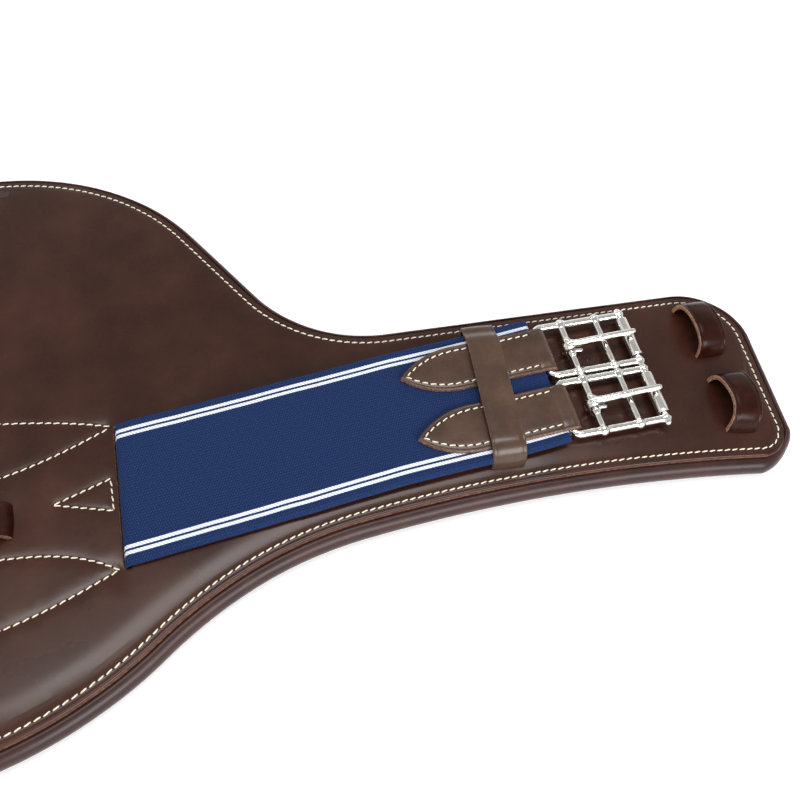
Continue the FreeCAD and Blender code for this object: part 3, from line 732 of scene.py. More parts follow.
def strapSection(half, thickness, edge, crease=None, crown=0.0):
    # A flat strap's section as (across, height), clockwise from the middle of one edge.
    # Rounded corners, a creased line inside each edge, a slight crown.
    top = thickness / 2
    rise = [(0.0, 0.0), (0.0, top - edge), (edge * 0.3, top - edge * 0.3), (edge, top)]
    if crease:
        rise += [(crease - 0.4, top + 0.02), (crease, top - 0.2), (crease + 0.45, top + 0.02)]
    widest = rise[-1][0]
    fit = min(1.0, half * 0.96 / widest)
    rise = [(inward * fit, height) for inward, height in rise]
    flat = half - rise[-1][0]
    middle = [(flat * k / 3, top + crown * (1 - (k / 3) ** 2)) for k in (2, 1, 0, -1, -2)]
    left = [(half - inward, height) for inward, height in rise]
    upper = left + middle + [(-a, h) for a, h in reversed(left)]
    corners = [(half - edge * fit, -top), (half - edge * 0.3 * fit, -top + edge * 0.3), (half, -top + edge)]
    lower = [(-a, h) for a, h in reversed(corners)] + [(-flat * 0.3, -top), (flat * 0.3, -top)] + corners
    return upper + lower


def strapEdgeFaces(section, edge, thickness):
    # True for each stretch of the section whose ends both lie on an edge's side.
    halfWidth = max(a for a, h in section)
    side = [abs(a) > halfWidth - edge * 0.5 and abs(h) <= thickness / 2 - edge * 0.25 for a, h in section]
    return [side[i] and side[(i + 1) % len(section)] for i in range(len(section))]


def sweepStrap(name, path, across, halfWidths, thickness, materials, crease, crown, edge=0.45):
    # path holds points on the strap's middle; the section stands square to it and to the across line.
    path = [Vector(p) for p in path]
    vertices, cutUv = [], []
    run = 0.0
    sample = strapSection(max(halfWidths), thickness, edge, crease, crown)
    count = len(sample)
    edgeFaces = strapEdgeFaces(sample, edge, thickness)
    for i, point in enumerate(path):
        before, after = path[max(0, i - 1)], path[min(len(path) - 1, i + 1)]
        along = (after - before).normalized()
        acrossHere = across[i] if isinstance(across, list) else Vector(across)
        normal = along.cross(acrossHere).normalized()
        run += (point - path[i - 1]).length if i else 0.0
        section = strapSection(halfWidths[i], thickness, edge, crease, crown)
        for a, h in section:
            if i in (0, len(path) - 1):
                h *= 1 - 2 * edge / thickness   # the last row closes in, for a rounded end
            vertices.append(point + acrossHere * a + normal * h)
            cutUv.append((run, a))
    faces, slots = [], []
    for i in range(len(path) - 1):
        for k in range(count):
            j = (k + 1) % count
            faces.append((i * count + k, (i + 1) * count + k, (i + 1) * count + j, i * count + j))
            slots.append(1 if edgeFaces[k] else 0)
    faces += [tuple(range(count)), tuple(range(len(vertices) - 1, len(vertices) - 1 - count, -1))]
    slots += [1, 1]
    piece = makePiece(name, vertices, faces, materials, slots, cutUv)
    cleanUp(piece)
    return piece


# Elastics: the wide stretchy bands that come out of the slots.
elasticLine = {
    "thickness": 4.0,
    "tailEnd": 60.0,       # the sewn-in tail, seen no further than the slot
    "bendAt": 101.0,       # square to the slot before here, then leaning towards the plate
    "spacing": 2.0,
    "rib": 1.42, "ribHeight": 0.12,
    "ripple": 0.25,        # woven edges wander a little
    "spread": 0.018,
}
elasticEnd = elasticHigh.x
elasticMiddle = elasticHigh.z - elasticLine["thickness"] / 2
elasticDrift = (elasticHigh.y - webbing["width"] / 2) / (elasticEnd - elasticLine["bendAt"])


def elasticHeight(x):
    # Out of the slot, up a lip, down the gentle slope and level to the buckles.
    stops = [(0, 9.0), (95.3, 9.2), (95.9, 13.2), (96.8, 15.6), (98.4, 16.7), (102.0, 17.2), (112.0, 17.35),
             (236.0, elasticMiddle), (400.0, elasticMiddle)]
    xs, zs = zip(*stops)
    return float(np.interp(x, xs, zs))


def elasticSurface(x, y):
    half = elasticLine["thickness"] / 2
    sag = 0.35 * math.sin(math.pi * min(1.0, max(0.0, (x - 108) / 128)))
    return elasticHeight(x) + half - sag + elasticLine["ripple"] * noise.noise(Vector((x / 40, y / 30, 4.0)))


def buildElastic(sideName, side):
    half, radius = webbing["width"] / 2, elasticLine["thickness"] / 2
    columns = [-half, -half + 0.25, -half + 0.8, -half + 1.6]
    columns += list(np.linspace(-half + 2.4, half - 2.4, 70))
    columns += [half - 1.6, half - 0.8, half - 0.25, half]
    stops = [elasticLine["tailEnd"], 80.0, 92.0, 94.0]
    stops += list(np.arange(95.0, 98.0, 0.3)) + list(np.arange(98.0, 108.0, 1.0))
    stops += list(np.arange(108.0, elasticEnd - radius - 1, elasticLine["spacing"]))
    stops += [elasticEnd - radius * (1 - math.sin(math.radians(a))) for a in (0, 20, 40, 55, 70, 80, 86, 90)]
    vertices, cutUv = [], []
    for layer in (1, -1):
        for x in stops:
            spread = min(1.0, max(0.0, (x - 230) / 50)) * elasticLine["spread"]   # wider where it is folded
            bend = max(0.0, x - elasticLine["bendAt"]) * elasticDrift
            closeIn = 1.0
            if x > elasticEnd - radius:
                closeIn = math.sqrt(max(0.0, 1 - ((x - elasticEnd + radius) / radius) ** 2))
            for column in columns:
                wander = 0.22 * noise.noise(Vector((x / 14, side * 3.0, column / 90)))
                rim = min(1.0, (half - abs(column)) / 1.2)
                swell = math.sqrt(max(0.0, 1 - (1 - rim) ** 2))   # rounded side edges
                ribs = elasticLine["ribHeight"] * (abs(math.sin(math.pi * column / elasticLine["rib"])) - 0.6)
                middle = elasticSurface(x, column) - radius
                height = middle + layer * (radius * swell * closeIn + (ribs * rim if closeIn == 1.0 else 0.0))
                turnDown = 0.5 * max(0.0, (abs(column) - half + 3.0) / 3.0) ** 2 if column < 0 else 0.0
                across = column * (1 + spread) - spread * half * 2
                vertices.append((side * x, across + bend + wander, height - turnDown))
                reach = x if layer > 0 else 2 * elasticEnd - x
                cutUv.append((reach, column))
    size = len(columns)
    rowsPerLayer = len(stops)
    faces = []
    for layerStart, flip in ((0, False), (rowsPerLayer * size, True)):
        for r in range(rowsPerLayer - 1):
            for c in range(size - 1):
                a = layerStart + r * size + c
                quad = (a, a + size, a + size + 1, a + 1)
                faces.append(quad[::-1] if flip else quad)
    shift = rowsPerLayer * size
    faces.append(tuple(range(size)) + tuple(range(shift + size - 1, shift - 1, -1)))   # the hidden end
    piece = makePiece("elastic_band_" + sideName, vertices, faces, [elasticWeave], None, cutUv)
    cleanUp(piece, 0.004)
    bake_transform(piece)
    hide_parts("elastic_" + sideName)


for sideName, side in sides.items():
    buildElastic(sideName, side)
print("elastics done")


# Chapes: leather tabs folded round the buckles.
chape = {
    "width": 26.2, "thickness": 2.5, "length": 79.5, "tail": 19.5, "tip": 30.0,
    "barRadius": 2.05,
    "spacing": 1.0,
    "lean": 0.048,        # it turns a little with the elastic that it is sewn to
    "stitchInset": 3.1, "stitchPitch": 4.3, "stitchStart": 5.5,
    "crease": 1.4,
}


def chapeHalf(fromTip):
    # An ogive tip: two arcs that meet in a point.
    half, reach = chape["width"] / 2, chape["tip"]
    if fromTip >= reach:
        return half
    bow = (reach ** 2 + half ** 2) / (2 * half)
    return max(0.25, math.sqrt(max(0.0, bow ** 2 - (reach - fromTip) ** 2)) - (bow - half))


chapeTop = {}   # the height of each chape's top face, for its stitches
for sideName, side in sides.items():
    for row in rows:
        node = "chape_%s_%s" % (sideName, row)
        low, high = boxOf(node)
        barX = (high.x if side > 0 else -low.x) - chape["barRadius"] - chape["thickness"]
        barY, barZ = (low.y + high.y) / 2, high.z - chape["barRadius"] - chape["thickness"]
        middleRadius = chape["barRadius"] + chape["thickness"] / 2
        path, widths = [], []
        for d in list(np.arange(0.0, 6.0, 0.5)) + list(np.arange(6.0, chape["length"], chape["spacing"])):
            x = barX - chape["length"] + d
            settle = 0.35 * math.exp(-((d - 48) / 20) ** 2)   # pressed down under the keeper
            settle += 0.3 * math.exp(-((d - chape["length"] + 5.5) / 0.8) ** 2)   # creased behind the bar
            lift = 0.35 * math.exp(-d / 5.0)                   # the tip stands up a little
            path.append((side * x, barY - (barX - x) * chape["lean"], barZ + middleRadius - settle + lift))
            widths.append(chapeHalf(d))
        for k in range(0, 19):
            angle = math.radians(90 - 10 * k)
            path.append((side * (barX + middleRadius * math.cos(angle)), barY,
                         barZ + middleRadius * math.sin(angle)))
            widths.append(chape["width"] / 2 - 0.5 * math.sin(math.pi * k / 18))
        for d in np.arange(1.0, chape["tail"] + 0.1, 2.0):
            path.append((side * (barX - d), barY, barZ - middleRadius))
            widths.append(chape["width"] / 2)
        piece = sweepStrap("chape_leather_%s_%s" % (sideName, row), path, (0, side, 0), widths,
                           chape["thickness"], [strapLeather, strapEdge], crease=chape["crease"], crown=0.2)
        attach(piece, "end_" + sideName)
        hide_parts(node)
        chapeTop[node] = (barX, barY, high.z)
print("chapes done")


# Keepers and loops.
keeper = {
    "width": 17.0, "thickness": 2.4, "lean": 4.4, "span": 83.6, "centre": (285.7, 16.9),
    "nearBend": 9.5, "farBend": 4.4,     # bent wide at the front, tight by the plate
    "clear": 0.7,                        # above the chapes' stitches as they slide
    "sag": 4.2, "sagLength": 9.0,       # it slopes down past the last chape
    "footDepth": 3.2,
}


def keeperPath(side):
    outer = keeper["span"] / 2 - keeper["thickness"] / 2
    keeperHigh = boxOf("keeper_band_right")[1]
    top = keeperHigh.z + keeper["clear"] - keeper["thickness"] / 2 - panel["top"]
    radius, farRadius = keeper["nearBend"], keeper["farBend"]
    farTop = top - keeper["sag"]
    flat = [(-outer, -keeper["footDepth"]), (-outer, -1.5)]
    for k in range(0, 10):
        angle = math.radians(180 - 10 * k)
        flat.append((radius - outer + radius * math.cos(angle), top - radius + radius * math.sin(angle)))
    for y in np.linspace(radius - outer + 2.0, outer - farRadius - 1.0, 36):
        slope = min(1.0, max(0.0, (y - outer + farRadius) / keeper["sagLength"] + 1))
        flat.append((y, top - keeper["sag"] * slope * slope * (3 - 2 * slope)))
    for k in range(9, -1, -1):
        angle = math.radians(10 * k)
        flat.append((outer - farRadius + farRadius * math.cos(angle),
                     farTop - farRadius + farRadius * math.sin(angle)))
    flat += [(outer, 1.0), (outer, -1.5), (outer, -keeper["footDepth"])]
    lean = math.radians(-side * keeper["lean"])
    centreX, centreY = side * keeper["centre"][0], keeper["centre"][1]
    path = [(centreX - y * math.sin(lean), centreY + y * math.cos(lean), panel["top"] + h) for y, h in flat]
    return path, lean


def archPath(span, rise, thickness, footDepth, count=40):
    # A squarish half ellipse on two feet, as (along, height), on the strap's middle.
    a, b = (span - thickness) / 2, rise - thickness / 2
    flat = [(-a, -footDepth), (-a, -footDepth / 2)]
    for k in range(count + 1):
        angle = math.pi * (1 - k / count)
        fullness = 1 - 0.13 * abs(math.sin(2 * angle)) ** 2   # fuller at its shoulders
        flat.append((math.copysign(a * abs(math.cos(angle)) ** fullness, math.cos(angle)),
                     b * max(0.0, math.sin(angle)) ** fullness))
    return flat + [(a, -footDepth / 2), (a, -footDepth)]


billetLoop = {
    "width": 15.4, "span": 34.4, "rise": 13.0, "thickness": 2.6, "lean": 6.0, "twist": 4.0, "nearX": 404.0,
    "footDepth": 3.2,
    "footShift": {"rear": 0.5, "front": -4.0},    # each front foot is set by hand, so not quite square
    "footTurn": {"rear": 2.0, "front": 14.0},
}
centreLoop = {"width": 20.0, "span": 94.6, "rise": 14.0, "thickness": 3.0, "footTaper": 1.6,
              "footDepth": 3.2}

for sideName, side in sides.items():
    path, lean = keeperPath(side)
    across = Vector((-math.cos(lean), -math.sin(lean), 0))
    piece = sweepStrap("keeper_strap_" + sideName, path, across, [keeper["width"] / 2] * len(path),
                       keeper["thickness"], [strapLeather, strapEdge], crease=1.3, crown=0.15)
    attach(piece, "girth")
    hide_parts("keeper_band_" + sideName)
    for row in rows:
        node = "billet_loop_%s_%s" % (sideName, row)
        low, high = boxOf(node)
        centreY = (low.y + high.y) / 2
        lean = math.radians(billetLoop["lean"])
        path, across = [], []
        flat = archPath(billetLoop["span"], billetLoop["rise"], billetLoop["thickness"],
                        billetLoop["footDepth"])
        for y, h in flat:
            share = max(0.0, h) / billetLoop["rise"]
            nearFoot = max(0.0, -2 * y / billetLoop["span"]) ** 2
            middleX = billetLoop["nearX"] + billetLoop["width"] / 2 + h * math.sin(lean)
            middleX += billetLoop["footShift"][row] * nearFoot
            path.append((side * middleX, centreY + 0.3 + y, panel["top"] - 0.3 + h * math.cos(lean)))
            dip = math.radians(billetLoop["twist"]) * share
            swing = math.radians(billetLoop["footTurn"][row]) * nearFoot
            across.append(Vector((-side * math.cos(dip) * math.cos(swing), math.sin(swing) * math.cos(dip),
                                  math.sin(dip))))
        piece = sweepStrap("billet_strap_%s_%s" % (sideName, row), path, across,
                           [billetLoop["width"] / 2] * len(path), billetLoop["thickness"],
                           [loopLeather, loopEdge], crease=1.4, crown=0.25)
        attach(piece, "girth")
        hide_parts(node)

loopLow, loopHigh = boxOf("centre_loop")
centreY = (loopLow.y + loopHigh.y) / 2
path = [(x, centreY, panel["top"] - 0.4 + h)
        for x, h in archPath(centreLoop["span"], centreLoop["rise"], centreLoop["thickness"],
                             centreLoop["footDepth"], 60)]
widths = [centreLoop["width"] / 2 - centreLoop["footTaper"] * abs(2 * x / centreLoop["span"]) ** 4
          for x, y, z in path]
piece = sweepStrap("centre_strap", path, (0, 1, 0), widths, centreLoop["thickness"],
                   [loopLeather, strapEdge], crease=1.6, crown=0.3)
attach(piece, "girth")
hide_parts("centre_loop")
print("keepers and loops done")


# Roller buckles: each bar is a tube, and the tubes are fused.

def tube(points, radii, reference=(0, 0, 1), around=16, ridge=0.0):
    # A closed round bar along some points, with rounded ends. A ridge raises its top line.
    points = [Vector(p) for p in points]
    first, last = (points[1] - points[0]).normalized(), (points[-1] - points[-2]).normalized()
    startCap, endCap = [], []
    for angle in (84, 60, 30):
        turn = math.radians(angle)
        startCap.append((points[0] - first * radii[0] * math.sin(turn), radii[0] * math.cos(turn)))
        endCap.insert(0, (points[-1] + last * radii[-1] * math.sin(turn), radii[-1] * math.cos(turn)))
    rings = startCap + list(zip(points, radii)) + endCap
    vertices, faces = [], []
    for i, (centre, radius) in enumerate(rings):
        along = rings[min(len(rings) - 1, i + 1)][0] - rings[max(0, i - 1)][0]
        side = along.cross(Vector(reference)).normalized()
        top = side.cross(along).normalized()
        for k in range(around):
            angle = 2 * math.pi * k / around
            lift = 1 + ridge * max(0.0, math.cos(angle)) ** 6
            vertices.append(centre + side * math.sin(angle) * radius * lift
                            + top * math.cos(angle) * radius * lift)
    for i in range(len(rings) - 1):
        for k in range(around):
            j = (k + 1) % around
            faces.append((i * around + k, i * around + j, (i + 1) * around + j, (i + 1) * around + k))
    faces += [tuple(range(around - 1, -1, -1)), tuple(range(len(vertices) - around, len(vertices)))]
    return vertices, faces


def fuseSteel(name, parts, voxel, smoothing):
    # Overlapping bars become one skin with soft fillets, as in a polished casting.
    vertices, faces = [], []
    for partVertices, partFaces in parts:
        base = len(vertices)
        vertices += partVertices
        faces += [tuple(base + i for i in f) for f in partFaces]
    mesh = bpy.data.meshes.new(name)
    mesh.from_pydata([tuple(v) for v in vertices], [], faces)
    holder = bpy.data.objects.new(name, mesh)
    bpy.context.scene.collection.objects.link(holder)
    remesh = holder.modifiers.new("skin", "REMESH")
    remesh.mode = "VOXEL"
    remesh.voxel_size = voxel
    soften = holder.modifiers.new("soften", "SMOOTH")
    soften.factor = 0.5
    soften.iterations = smoothing
    applyModifiers(holder)
    made = holder.data
    bpy.data.objects.remove(holder)
    made.transform(Matrix.Scale(mm, 4))
    made.polygons.foreach_set("use_smooth", [True] * len(made.polygons))
    made.materials.clear()
    made.materials.append(buckleSteel)
    return made


buckle = {   # centred on the chape bar, X towards the roller
    "railSpacing": 31.0, "railRadius": 2.1, "cornerBend": 3.6,
    "bars": {"tongue": (15.4, 1.95), "middle": (35.4, 1.75), "roller": (50.0, 1.65)},
    "flare": 1.3, "flareLength": 3.0,
    "knuckleRadius": 2.65, "knuckleGroove": 0.45, "knuckleGrooveAt": 0.9, "knuckleRound": 3.4,
    "knuckleInner": -2.0, "knuckleOuter": 2.3, "knuckleSteps": 18,
    "collarRadius": 2.9, "collarAt": 4.05, "collarLength": 1.3,
    "voxel": 0.26, "smoothing": 9,
}


def barWithFlares(x, radius, half):
    points, radii = [], []
    for y in np.linspace(-half, half, 41):
        near = max(0.0, 1 - (half - abs(y)) / buckle["flareLength"])
        points.append((x, y, 0.0))
        radii.append(radius + buckle["flare"] * near ** 1.5)
    return tube(points, radii)


def frameMesh():
    half = buckle["railSpacing"] / 2
    bend = buckle["cornerBend"]
    barEnd = buckle["bars"]["roller"][0]
    # One rod bent into a U: along one rail, round the chape bar and back along the other.
    line = [(x, -half, 0.0) for x in np.arange(barEnd, bend, -1.0)]
    line += [(bend - bend * math.sin(math.radians(a)), -half + bend - bend * math.cos(math.radians(a)), 0.0)
             for a in range(0, 91, 15)]
    line += [(0.0, y, 0.0) for y in np.arange(-half + bend + 1, half - bend, 1.0)]
    line += [(bend - bend * math.cos(math.radians(a)), half - bend + bend * math.sin(math.radians(a)), 0.0)
             for a in range(0, 91, 15)]
    line += [(x, half, 0.0) for x in np.arange(bend + 1.0, barEnd + 0.5, 1.0)]
    parts = [tube(line, [buckle["railRadius"]] * len(line))]
    for x, radius in buckle["bars"].values():
        parts.append(barWithFlares(x, radius, half))
    for side in (-1, 1):
        # The rail ends are eyes upset round the roller bar, with a turned line.
        reaches = np.linspace(buckle["knuckleInner"], buckle["knuckleOuter"], buckle["knuckleSteps"])
        knuckle = [(barEnd, side * (half + d), 0.0) for d in reaches]
        knuckleRadii = []
        for d in reaches:
            shape = math.sqrt(max(0.05, 1 - (d / buckle["knuckleRound"]) ** 2))
            groove = buckle["knuckleGroove"] * math.exp(-((d - buckle["knuckleGrooveAt"]) / 0.3) ** 2)
            knuckleRadii.append(buckle["knuckleRadius"] * shape - groove)
        parts.append(tube(knuckle, knuckleRadii))
        collar = [(buckle["bars"]["tongue"][0], side * (buckle["collarAt"] + d), 0.0)
                  for d in np.linspace(-buckle["collarLength"] / 2, buckle["collarLength"] / 2, 5)]
        parts.append(tube(collar, [buckle["collarRadius"] * w for w in (0.86, 0.97, 1.0, 0.97, 0.86)]))
    return fuseSteel("buckle_frame_steel", parts, buckle["voxel"], buckle["smoothing"])


tongue = {   # centred on the tongue bar
    "wrapRadius": 3.4, "wireRadius": 1.2, "side": 1.15,
    "wrapFrom": 78,       # degrees up from the roller's side
    "wrapTravel": 2.3,    # along the bar, in one turn
    "rootX": 0.3, "rootHeight": 3.3, "rootRadius": 1.75, "bow": 0.35,
    "tip": (35.2, 5.8), "shankRadius": 2.15, "tipRadius": 1.75, "ridge": 0.12,
    "voxel": 0.24, "smoothing": 7,
}


def tongueMesh():
    # The shank thins to a wire that wraps the bar: over, down the chape side, under and out.
    wrap = tongue["wrapRadius"]
    parts = []
    points, radii = [], []
    for k in range(0, 26):
        angle = math.radians(tongue["wrapFrom"] + 10 * k)
        points.append((wrap * math.cos(angle), tongue["side"] - tongue["wrapTravel"] * k / 25,
                       wrap * math.sin(angle)))
        radii.append(tongue["wireRadius"] + 0.75 * math.exp(-k / 3.0))
    for d in (1.0, 2.0, 3.0, 4.2):   # the cut stub
        points.append((points[-1][0] + 1.0, points[-1][1] - 0.06, points[-1][2] - 0.12 * d / 4))
        radii.append(tongue["wireRadius"])
    parts.append(tube(points, radii, (0, 1, 0)))
    tipX, tipZ = tongue["tip"]
    shank, shankRadii = [], []
    for k in range(0, 45):
        share = k / 44
        x = tongue["rootX"] + (tipX - tongue["rootX"]) * share
        easeIn = min(1.0, x / 6.0)
        z = tongue["rootHeight"] * (1 - share) + tipZ * share + tongue["bow"] * math.sin(math.pi * share)
        shank.append((x, tongue["side"] * (1 - easeIn) ** 2, z))
        thicken = (tongue["shankRadius"] - tongue["rootRadius"]) * math.sin(math.pi / 2 * easeIn)
        taper = (tongue["tipRadius"] - tongue["shankRadius"]) * share
        shankRadii.append(tongue["rootRadius"] + thicken + taper)
    parts.append(tube(shank, shankRadii, around=24, ridge=tongue["ridge"]))
    # A second turn of the wire beside the first fills the eye's width.
    turn2 = [(wrap * math.cos(math.radians(a)), -1.25 - 0.2, wrap * math.sin(math.radians(a)))
             for a in range(75, 300, 10)]
    parts.append(tube(turn2, [tongue["wireRadius"]] * len(turn2), (0, 1, 0)))
    return fuseSteel("tongue_steel", parts, tongue["voxel"], tongue["smoothing"])


roller = {"radius": 3.25, "length": 24.6, "bore": 1.9, "rimRound": 0.55, "seamWidth": 7.0, "around": 64}


def rollerMesh():
    # Rolled sheet: a tube with rounded ends and the butt seam along it.
    half, radius, edge = roller["length"] / 2, roller["radius"], roller["rimRound"]
    profile = [(-half + edge * 0.6, roller["bore"]), (-half, roller["bore"] + 0.4), (-half, radius - edge),
               (-half + edge * 0.3, radius - edge * 0.3), (-half + edge, radius)]
    for y in np.linspace(-half + edge + 1.0, half - edge - 1.0, 11):
        profile.append((y, radius))
    profile += [(-y, r) for y, r in reversed(profile[:5])]
    vertices, faces = [], []
    around = roller["around"]
    for y, r in profile:
        for k in range(around):
            angle = 2 * math.pi * k / around
            off = math.degrees(math.atan2(math.sin(angle - math.pi), math.cos(angle - math.pi)))
            seam = 0.28 * math.exp(-(off / roller["seamWidth"]) ** 2) if r > roller["bore"] + 0.2 else 0.0
            vertices.append(((r - seam) * math.cos(angle), y, (r - seam) * math.sin(angle)))
    for i in range(len(profile)):
        n = (i + 1) % len(profile)
        for k in range(around):
            j = (k + 1) % around
            faces.append((i * around + k, n * around + k, n * around + j, i * around + j))
    piece = makePiece("roller_steel", vertices, faces, [buckleSteel])
    cleanUp(piece)
    mesh = piece.data
    bpy.data.objects.remove(piece)
    return mesh


steelMeshes = {"buckle_frame": frameMesh(), "tongue": tongueMesh(), "roller": rollerMesh()}
steelBody = {"buckle_frame": "frame", "tongue": "tongue", "roller": "roller"}
for sideName, side in sides.items():
    for row in rows:
        name = "%s_%s" % (sideName, row)
        barX, barY, chapeHigh = chapeTop["chape_" + name]
        barZ = chapeHigh - chape["barRadius"] - chape["thickness"]
        offsets = {"buckle_frame": 0.0, "tongue": buckle["bars"]["tongue"][0],
                   "roller": buckle["bars"]["roller"][0]}
        for part, mesh in steelMeshes.items():
            piece = bpy.data.objects.new("%s_steel_%s" % (part, name), mesh)
            bpy.context.scene.collection.objects.link(piece)
            turn = Matrix.Rotation(0.0 if side > 0 else math.pi, 4, "Z")
            place = Vector((side * (barX + offsets[part]), barY, barZ)) * mm
            piece.matrix_world = Matrix.Translation(place) @ turn
            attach(piece, "%s_%s" % (steelBody[part], name))
            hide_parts("%s_%s" % (part, name))
print("buckles done:", len(steelMeshes["buckle_frame"].vertices), "points in a frame")


# Stitching.
stitch = {
    "pitch": 4.05, "length": 3.2, "radius": 0.37, "slant": 9.0,
    "arch": 0.32,          # how far the middle stands above the ends
    "holeLength": 0.7, "holeWidth": 0.46,
    "around": 8, "steps": 8,
}


def stitchTemplate():
    # One stitch along X: a fat little arch of thread that dives into the leather at both ends.
    vertices, uv, faces = [], [], []
    around, steps, length = stitch["around"], stitch["steps"], stitch["length"]
    for i in range(steps + 1):
        share = i / steps
        x = (share - 0.5) * length
        bulge = math.sin(math.pi * share)
        radius = stitch["radius"] * (0.62 + 0.38 * bulge ** 0.5)
        z = stitch["arch"] * bulge ** 0.6 - 0.16
        for k in range(around):
            angle = 2 * math.pi * k / around
            vertices.append((x, radius * math.sin(angle), z + radius * math.cos(angle)))
            uv.append((x, 2.9 * k / around))
    for i in range(steps):
        for k in range(around):
            j = (k + 1) % around
            faces.append((i * around + k, (i + 1) * around + k, (i + 1) * around + j, i * around + j))
    faces += [tuple(range(around)), tuple(range(len(vertices) - 1, len(vertices) - 1 - around, -1))]
    slots = [0] * len(faces)
    for end in (-1, 1):   # the awl holes, as shallow ovals of painted shade
        base = len(vertices)
        for k in range(10):
            angle = 2 * math.pi * k / 10
            vertices.append((end * (length / 2 + 0.16) + stitch["holeLength"] * math.cos(angle),
                             stitch["holeWidth"] * math.sin(angle), 0.05))
            uv.append((0, 0))
        vertices.append((end * (length / 2 + 0.16), 0, 0.08))
        uv.append((0, 0))
        faces += [(base + k, base + (k + 1) % 10, base + 10) for k in range(10)]
        slots += [1] * 10
    return np.array(vertices), np.array(uv), faces, slots


def sewRow(name, places, body):
    # places: (point, direction, surface normal) for each stitch, in order along the seam.
    template, templateUv, templateFaces, templateSlots = stitchTemplate()
    vertices, uv, faces, slots = [], [], [], []
    for index, (point, direction, normal) in enumerate(places):
        n = Vector(normal).normalized()
        t = Vector(direction)
        t = (t - n * t.dot(n)).normalized()
        wobble = noise.noise(Vector((point[0] * 0.9, point[1] * 0.9, 2.0)))
        t = Matrix.Rotation(math.radians(stitch["slant"] + 5 * wobble), 3, n) @ t
        b = n.cross(t)
        basis = np.array([t, b, n])
        base = index * len(template)
        vertices.append(template @ basis + np.array(point))
        uv.append(templateUv + (index * 1.7, 0))
        faces += [tuple(base + i for i in f) for f in templateFaces]
        slots += templateSlots
    piece = makePiece(name, np.vstack(vertices), faces, [creamThread, paintedHoleShade], slots, np.vstack(uv))
    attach(piece, body)


def surfaceNormal(x, y, reach=1.2):
    dx = surfaceHeight(x + reach, y) - surfaceHeight(x - reach, y)
    dy = surfaceHeight(x, y + reach) - surfaceHeight(x, y - reach)
    return Vector((-dx, -dy, 2 * reach)).normalized()


edgeLine = [(x, y) for x, y, tight in walkOutline(panelInset + panel["stitchInset"], panelShift)]
edgePlaces = []
for point, direction in evenPoints(edgeLine + edgeLine[:1], stitch["pitch"]):
    x, y = point
    normal = surfaceNormal(x, y)
    edgePlaces.append(((x, y, surfaceHeight(x, y, panel["stitchInset"]) - 0.16), (*direction, 0), normal))
sewRow("edge_stitches", edgePlaces, "girth")

seamPlaces = []
for line in seamLines:
    for point, direction in evenPoints(line, stitch["pitch"]):
        x, y = point
        seamPlaces.append(((x, y, surfaceHeight(x, y) + 0.08), (*direction, 0), surfaceNormal(x, y, 3.0)))
sewRow("seam_stitches", seamPlaces, "girth")

for sideName, side in sides.items():
    for row in rows:
        node = "chape_%s_%s" % (sideName, row)
        barX, barY, top = chapeTop[node]
        inset = chape["stitchInset"]
        line = []
        for d in np.arange(chape["length"] - chape["stitchStart"], 3.2, -1.0):
            margin = inset * (1 if d > chape["tip"] else 1.02)
            line.append((barX - chape["length"] + d, chapeHalf(d) - margin))
        line = [p for p in line if p[1] > 0.3]
        both = line + [(line[-1][0] - 1.2, 0.0)] + [(x, -y) for x, y in reversed(line)]
        both = [(x, y - (barX - x) * chape["lean"]) for x, y in both]
        places = []
        for point, direction in evenPoints(both, chape["stitchPitch"]):
            d = point[0] - barX + chape["length"]
            settle = 0.35 * math.exp(-((d - 48) / 20) ** 2) - 0.35 * math.exp(-d / 5.0)
            places.append(((side * point[0], barY + point[1], top + 0.05 - settle),
                           (side * direction[0], direction[1], 0), (0, 0, 1)))
        sewRow("chape_stitches_%s_%s" % (sideName, row), places, "end_" + sideName)
print("stitching done")


# Floor, light and camera.
studio = {
    "floor": 16.0, "paperGlow": 0.22,
    # how bright the room is by the sine of the height above the horizon: light walls, a dimmer ceiling
    "sky": [(0.0, "#F0F0F0"), (0.10, "#DCDCDC"), (0.16, "#909090"), (0.26, "#F4F4F4"), (0.46, "#F4F4F4"),
            (0.66, "#B2B2B2"), (1.0, "#B2B2B2")],
    "overhead": {"place": (0.15, 0.12, 1.3), "size": (1.1, 0.30), "power": 10.0},
    "front": {"place": (0.45, -0.85, 0.52), "size": (0.8, 0.4), "power": 9.0, "aim": (0.28, 0.0, 0.0)},
}
bpy.ops.mesh.primitive_plane_add(size=studio["floor"])
floor = bpy.context.object
floor.name = "studio_floor"
paper, _, paperShader = newMaterial("whitePaper", {"Roughness": 0.9, "Specular IOR Level": 0.0})
paperShader.inputs["Base Color"].default_value = toLinear("#F6F6F6")
paperShader.inputs["Emission Color"].default_value = toLinear("#FFFFFF")
paperShader.inputs["Emission Strength"].default_value = studio["paperGlow"]   # keeps the sweep pure white
floor.data.materials.append(paper)

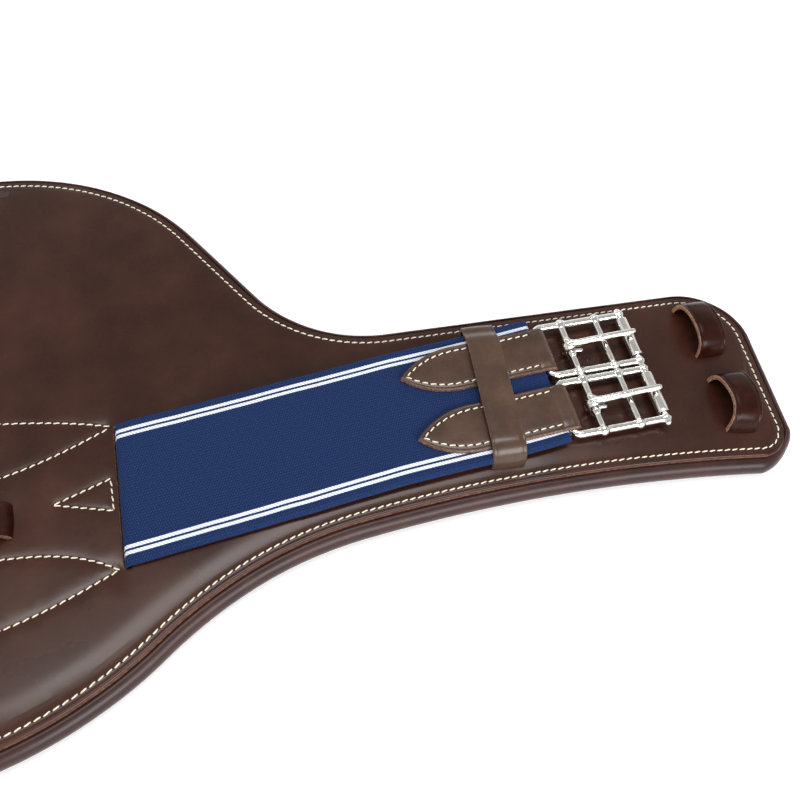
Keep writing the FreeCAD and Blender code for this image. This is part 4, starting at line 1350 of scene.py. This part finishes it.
world = bpy.data.worlds.new("softStudio")
bpy.context.scene.world = world
world.use_nodes = True
skyTree = world.node_tree
direction = addNode(skyTree, "ShaderNodeTexCoord").outputs["Generated"]
climb = addNode(skyTree, "ShaderNodeSeparateXYZ", {}, {"Vector": direction})
sky = addNode(skyTree, "ShaderNodeValToRGB", {"ramp": studio["sky"]}, {"Fac": climb.outputs["Z"]})
skyTree.links.new(sky.outputs["Color"], skyTree.nodes["Background"].inputs["Color"])


def softbox(name, settings, aim=None):
    lamp = bpy.data.lights.new(name, "AREA")
    lamp.shape = "RECTANGLE"
    lamp.size, lamp.size_y = settings["size"]
    lamp.energy = settings["power"]
    holder = bpy.data.objects.new(name, lamp)
    bpy.context.scene.collection.objects.link(holder)
    holder.location = settings["place"]
    direction = Vector(aim) - Vector(settings["place"]) if aim else -up
    holder.rotation_mode = "QUATERNION"
    holder.rotation_quaternion = direction.to_track_quat("-Z", "Y")
    return holder


softbox("overhead_softbox", studio["overhead"])
softbox("front_softbox", studio["front"], studio["front"]["aim"])

cameraSetup = {
    "place": (0.1635, -0.1941, 0.3855),   # over the front edge, near the right arm
    "heading": 71.02,     # degrees from +X, towards +Y
    "lookDown": 58.09,
    "roll": 6.26,
    "lens": 37.99,
}
heading, tilt = math.radians(cameraSetup["heading"]), math.radians(cameraSetup["lookDown"])
roll = math.radians(cameraSetup["roll"])
level = Vector((math.sin(heading), -math.cos(heading), 0))
ahead = Vector((math.cos(heading) * math.cos(tilt), math.sin(heading) * math.cos(tilt), -math.sin(tilt)))
over = level.cross(ahead)
right = level * math.cos(roll) + over * math.sin(roll)
above = right.cross(ahead)
cameraData = bpy.data.cameras.new("camera")
cameraData.lens = cameraSetup["lens"]
cameraData.sensor_width = 36.0
cameraData.clip_start = 0.02
camera = bpy.data.objects.new("camera", cameraData)
bpy.context.scene.collection.objects.link(camera)
turn = Matrix((right, above, -ahead)).transposed().to_4x4()
turn.translation = Vector(cameraSetup["place"])
camera.matrix_world = turn
bpy.context.scene.camera = camera
bpy.context.scene.view_settings.view_transform = "Standard"
print("studio done")
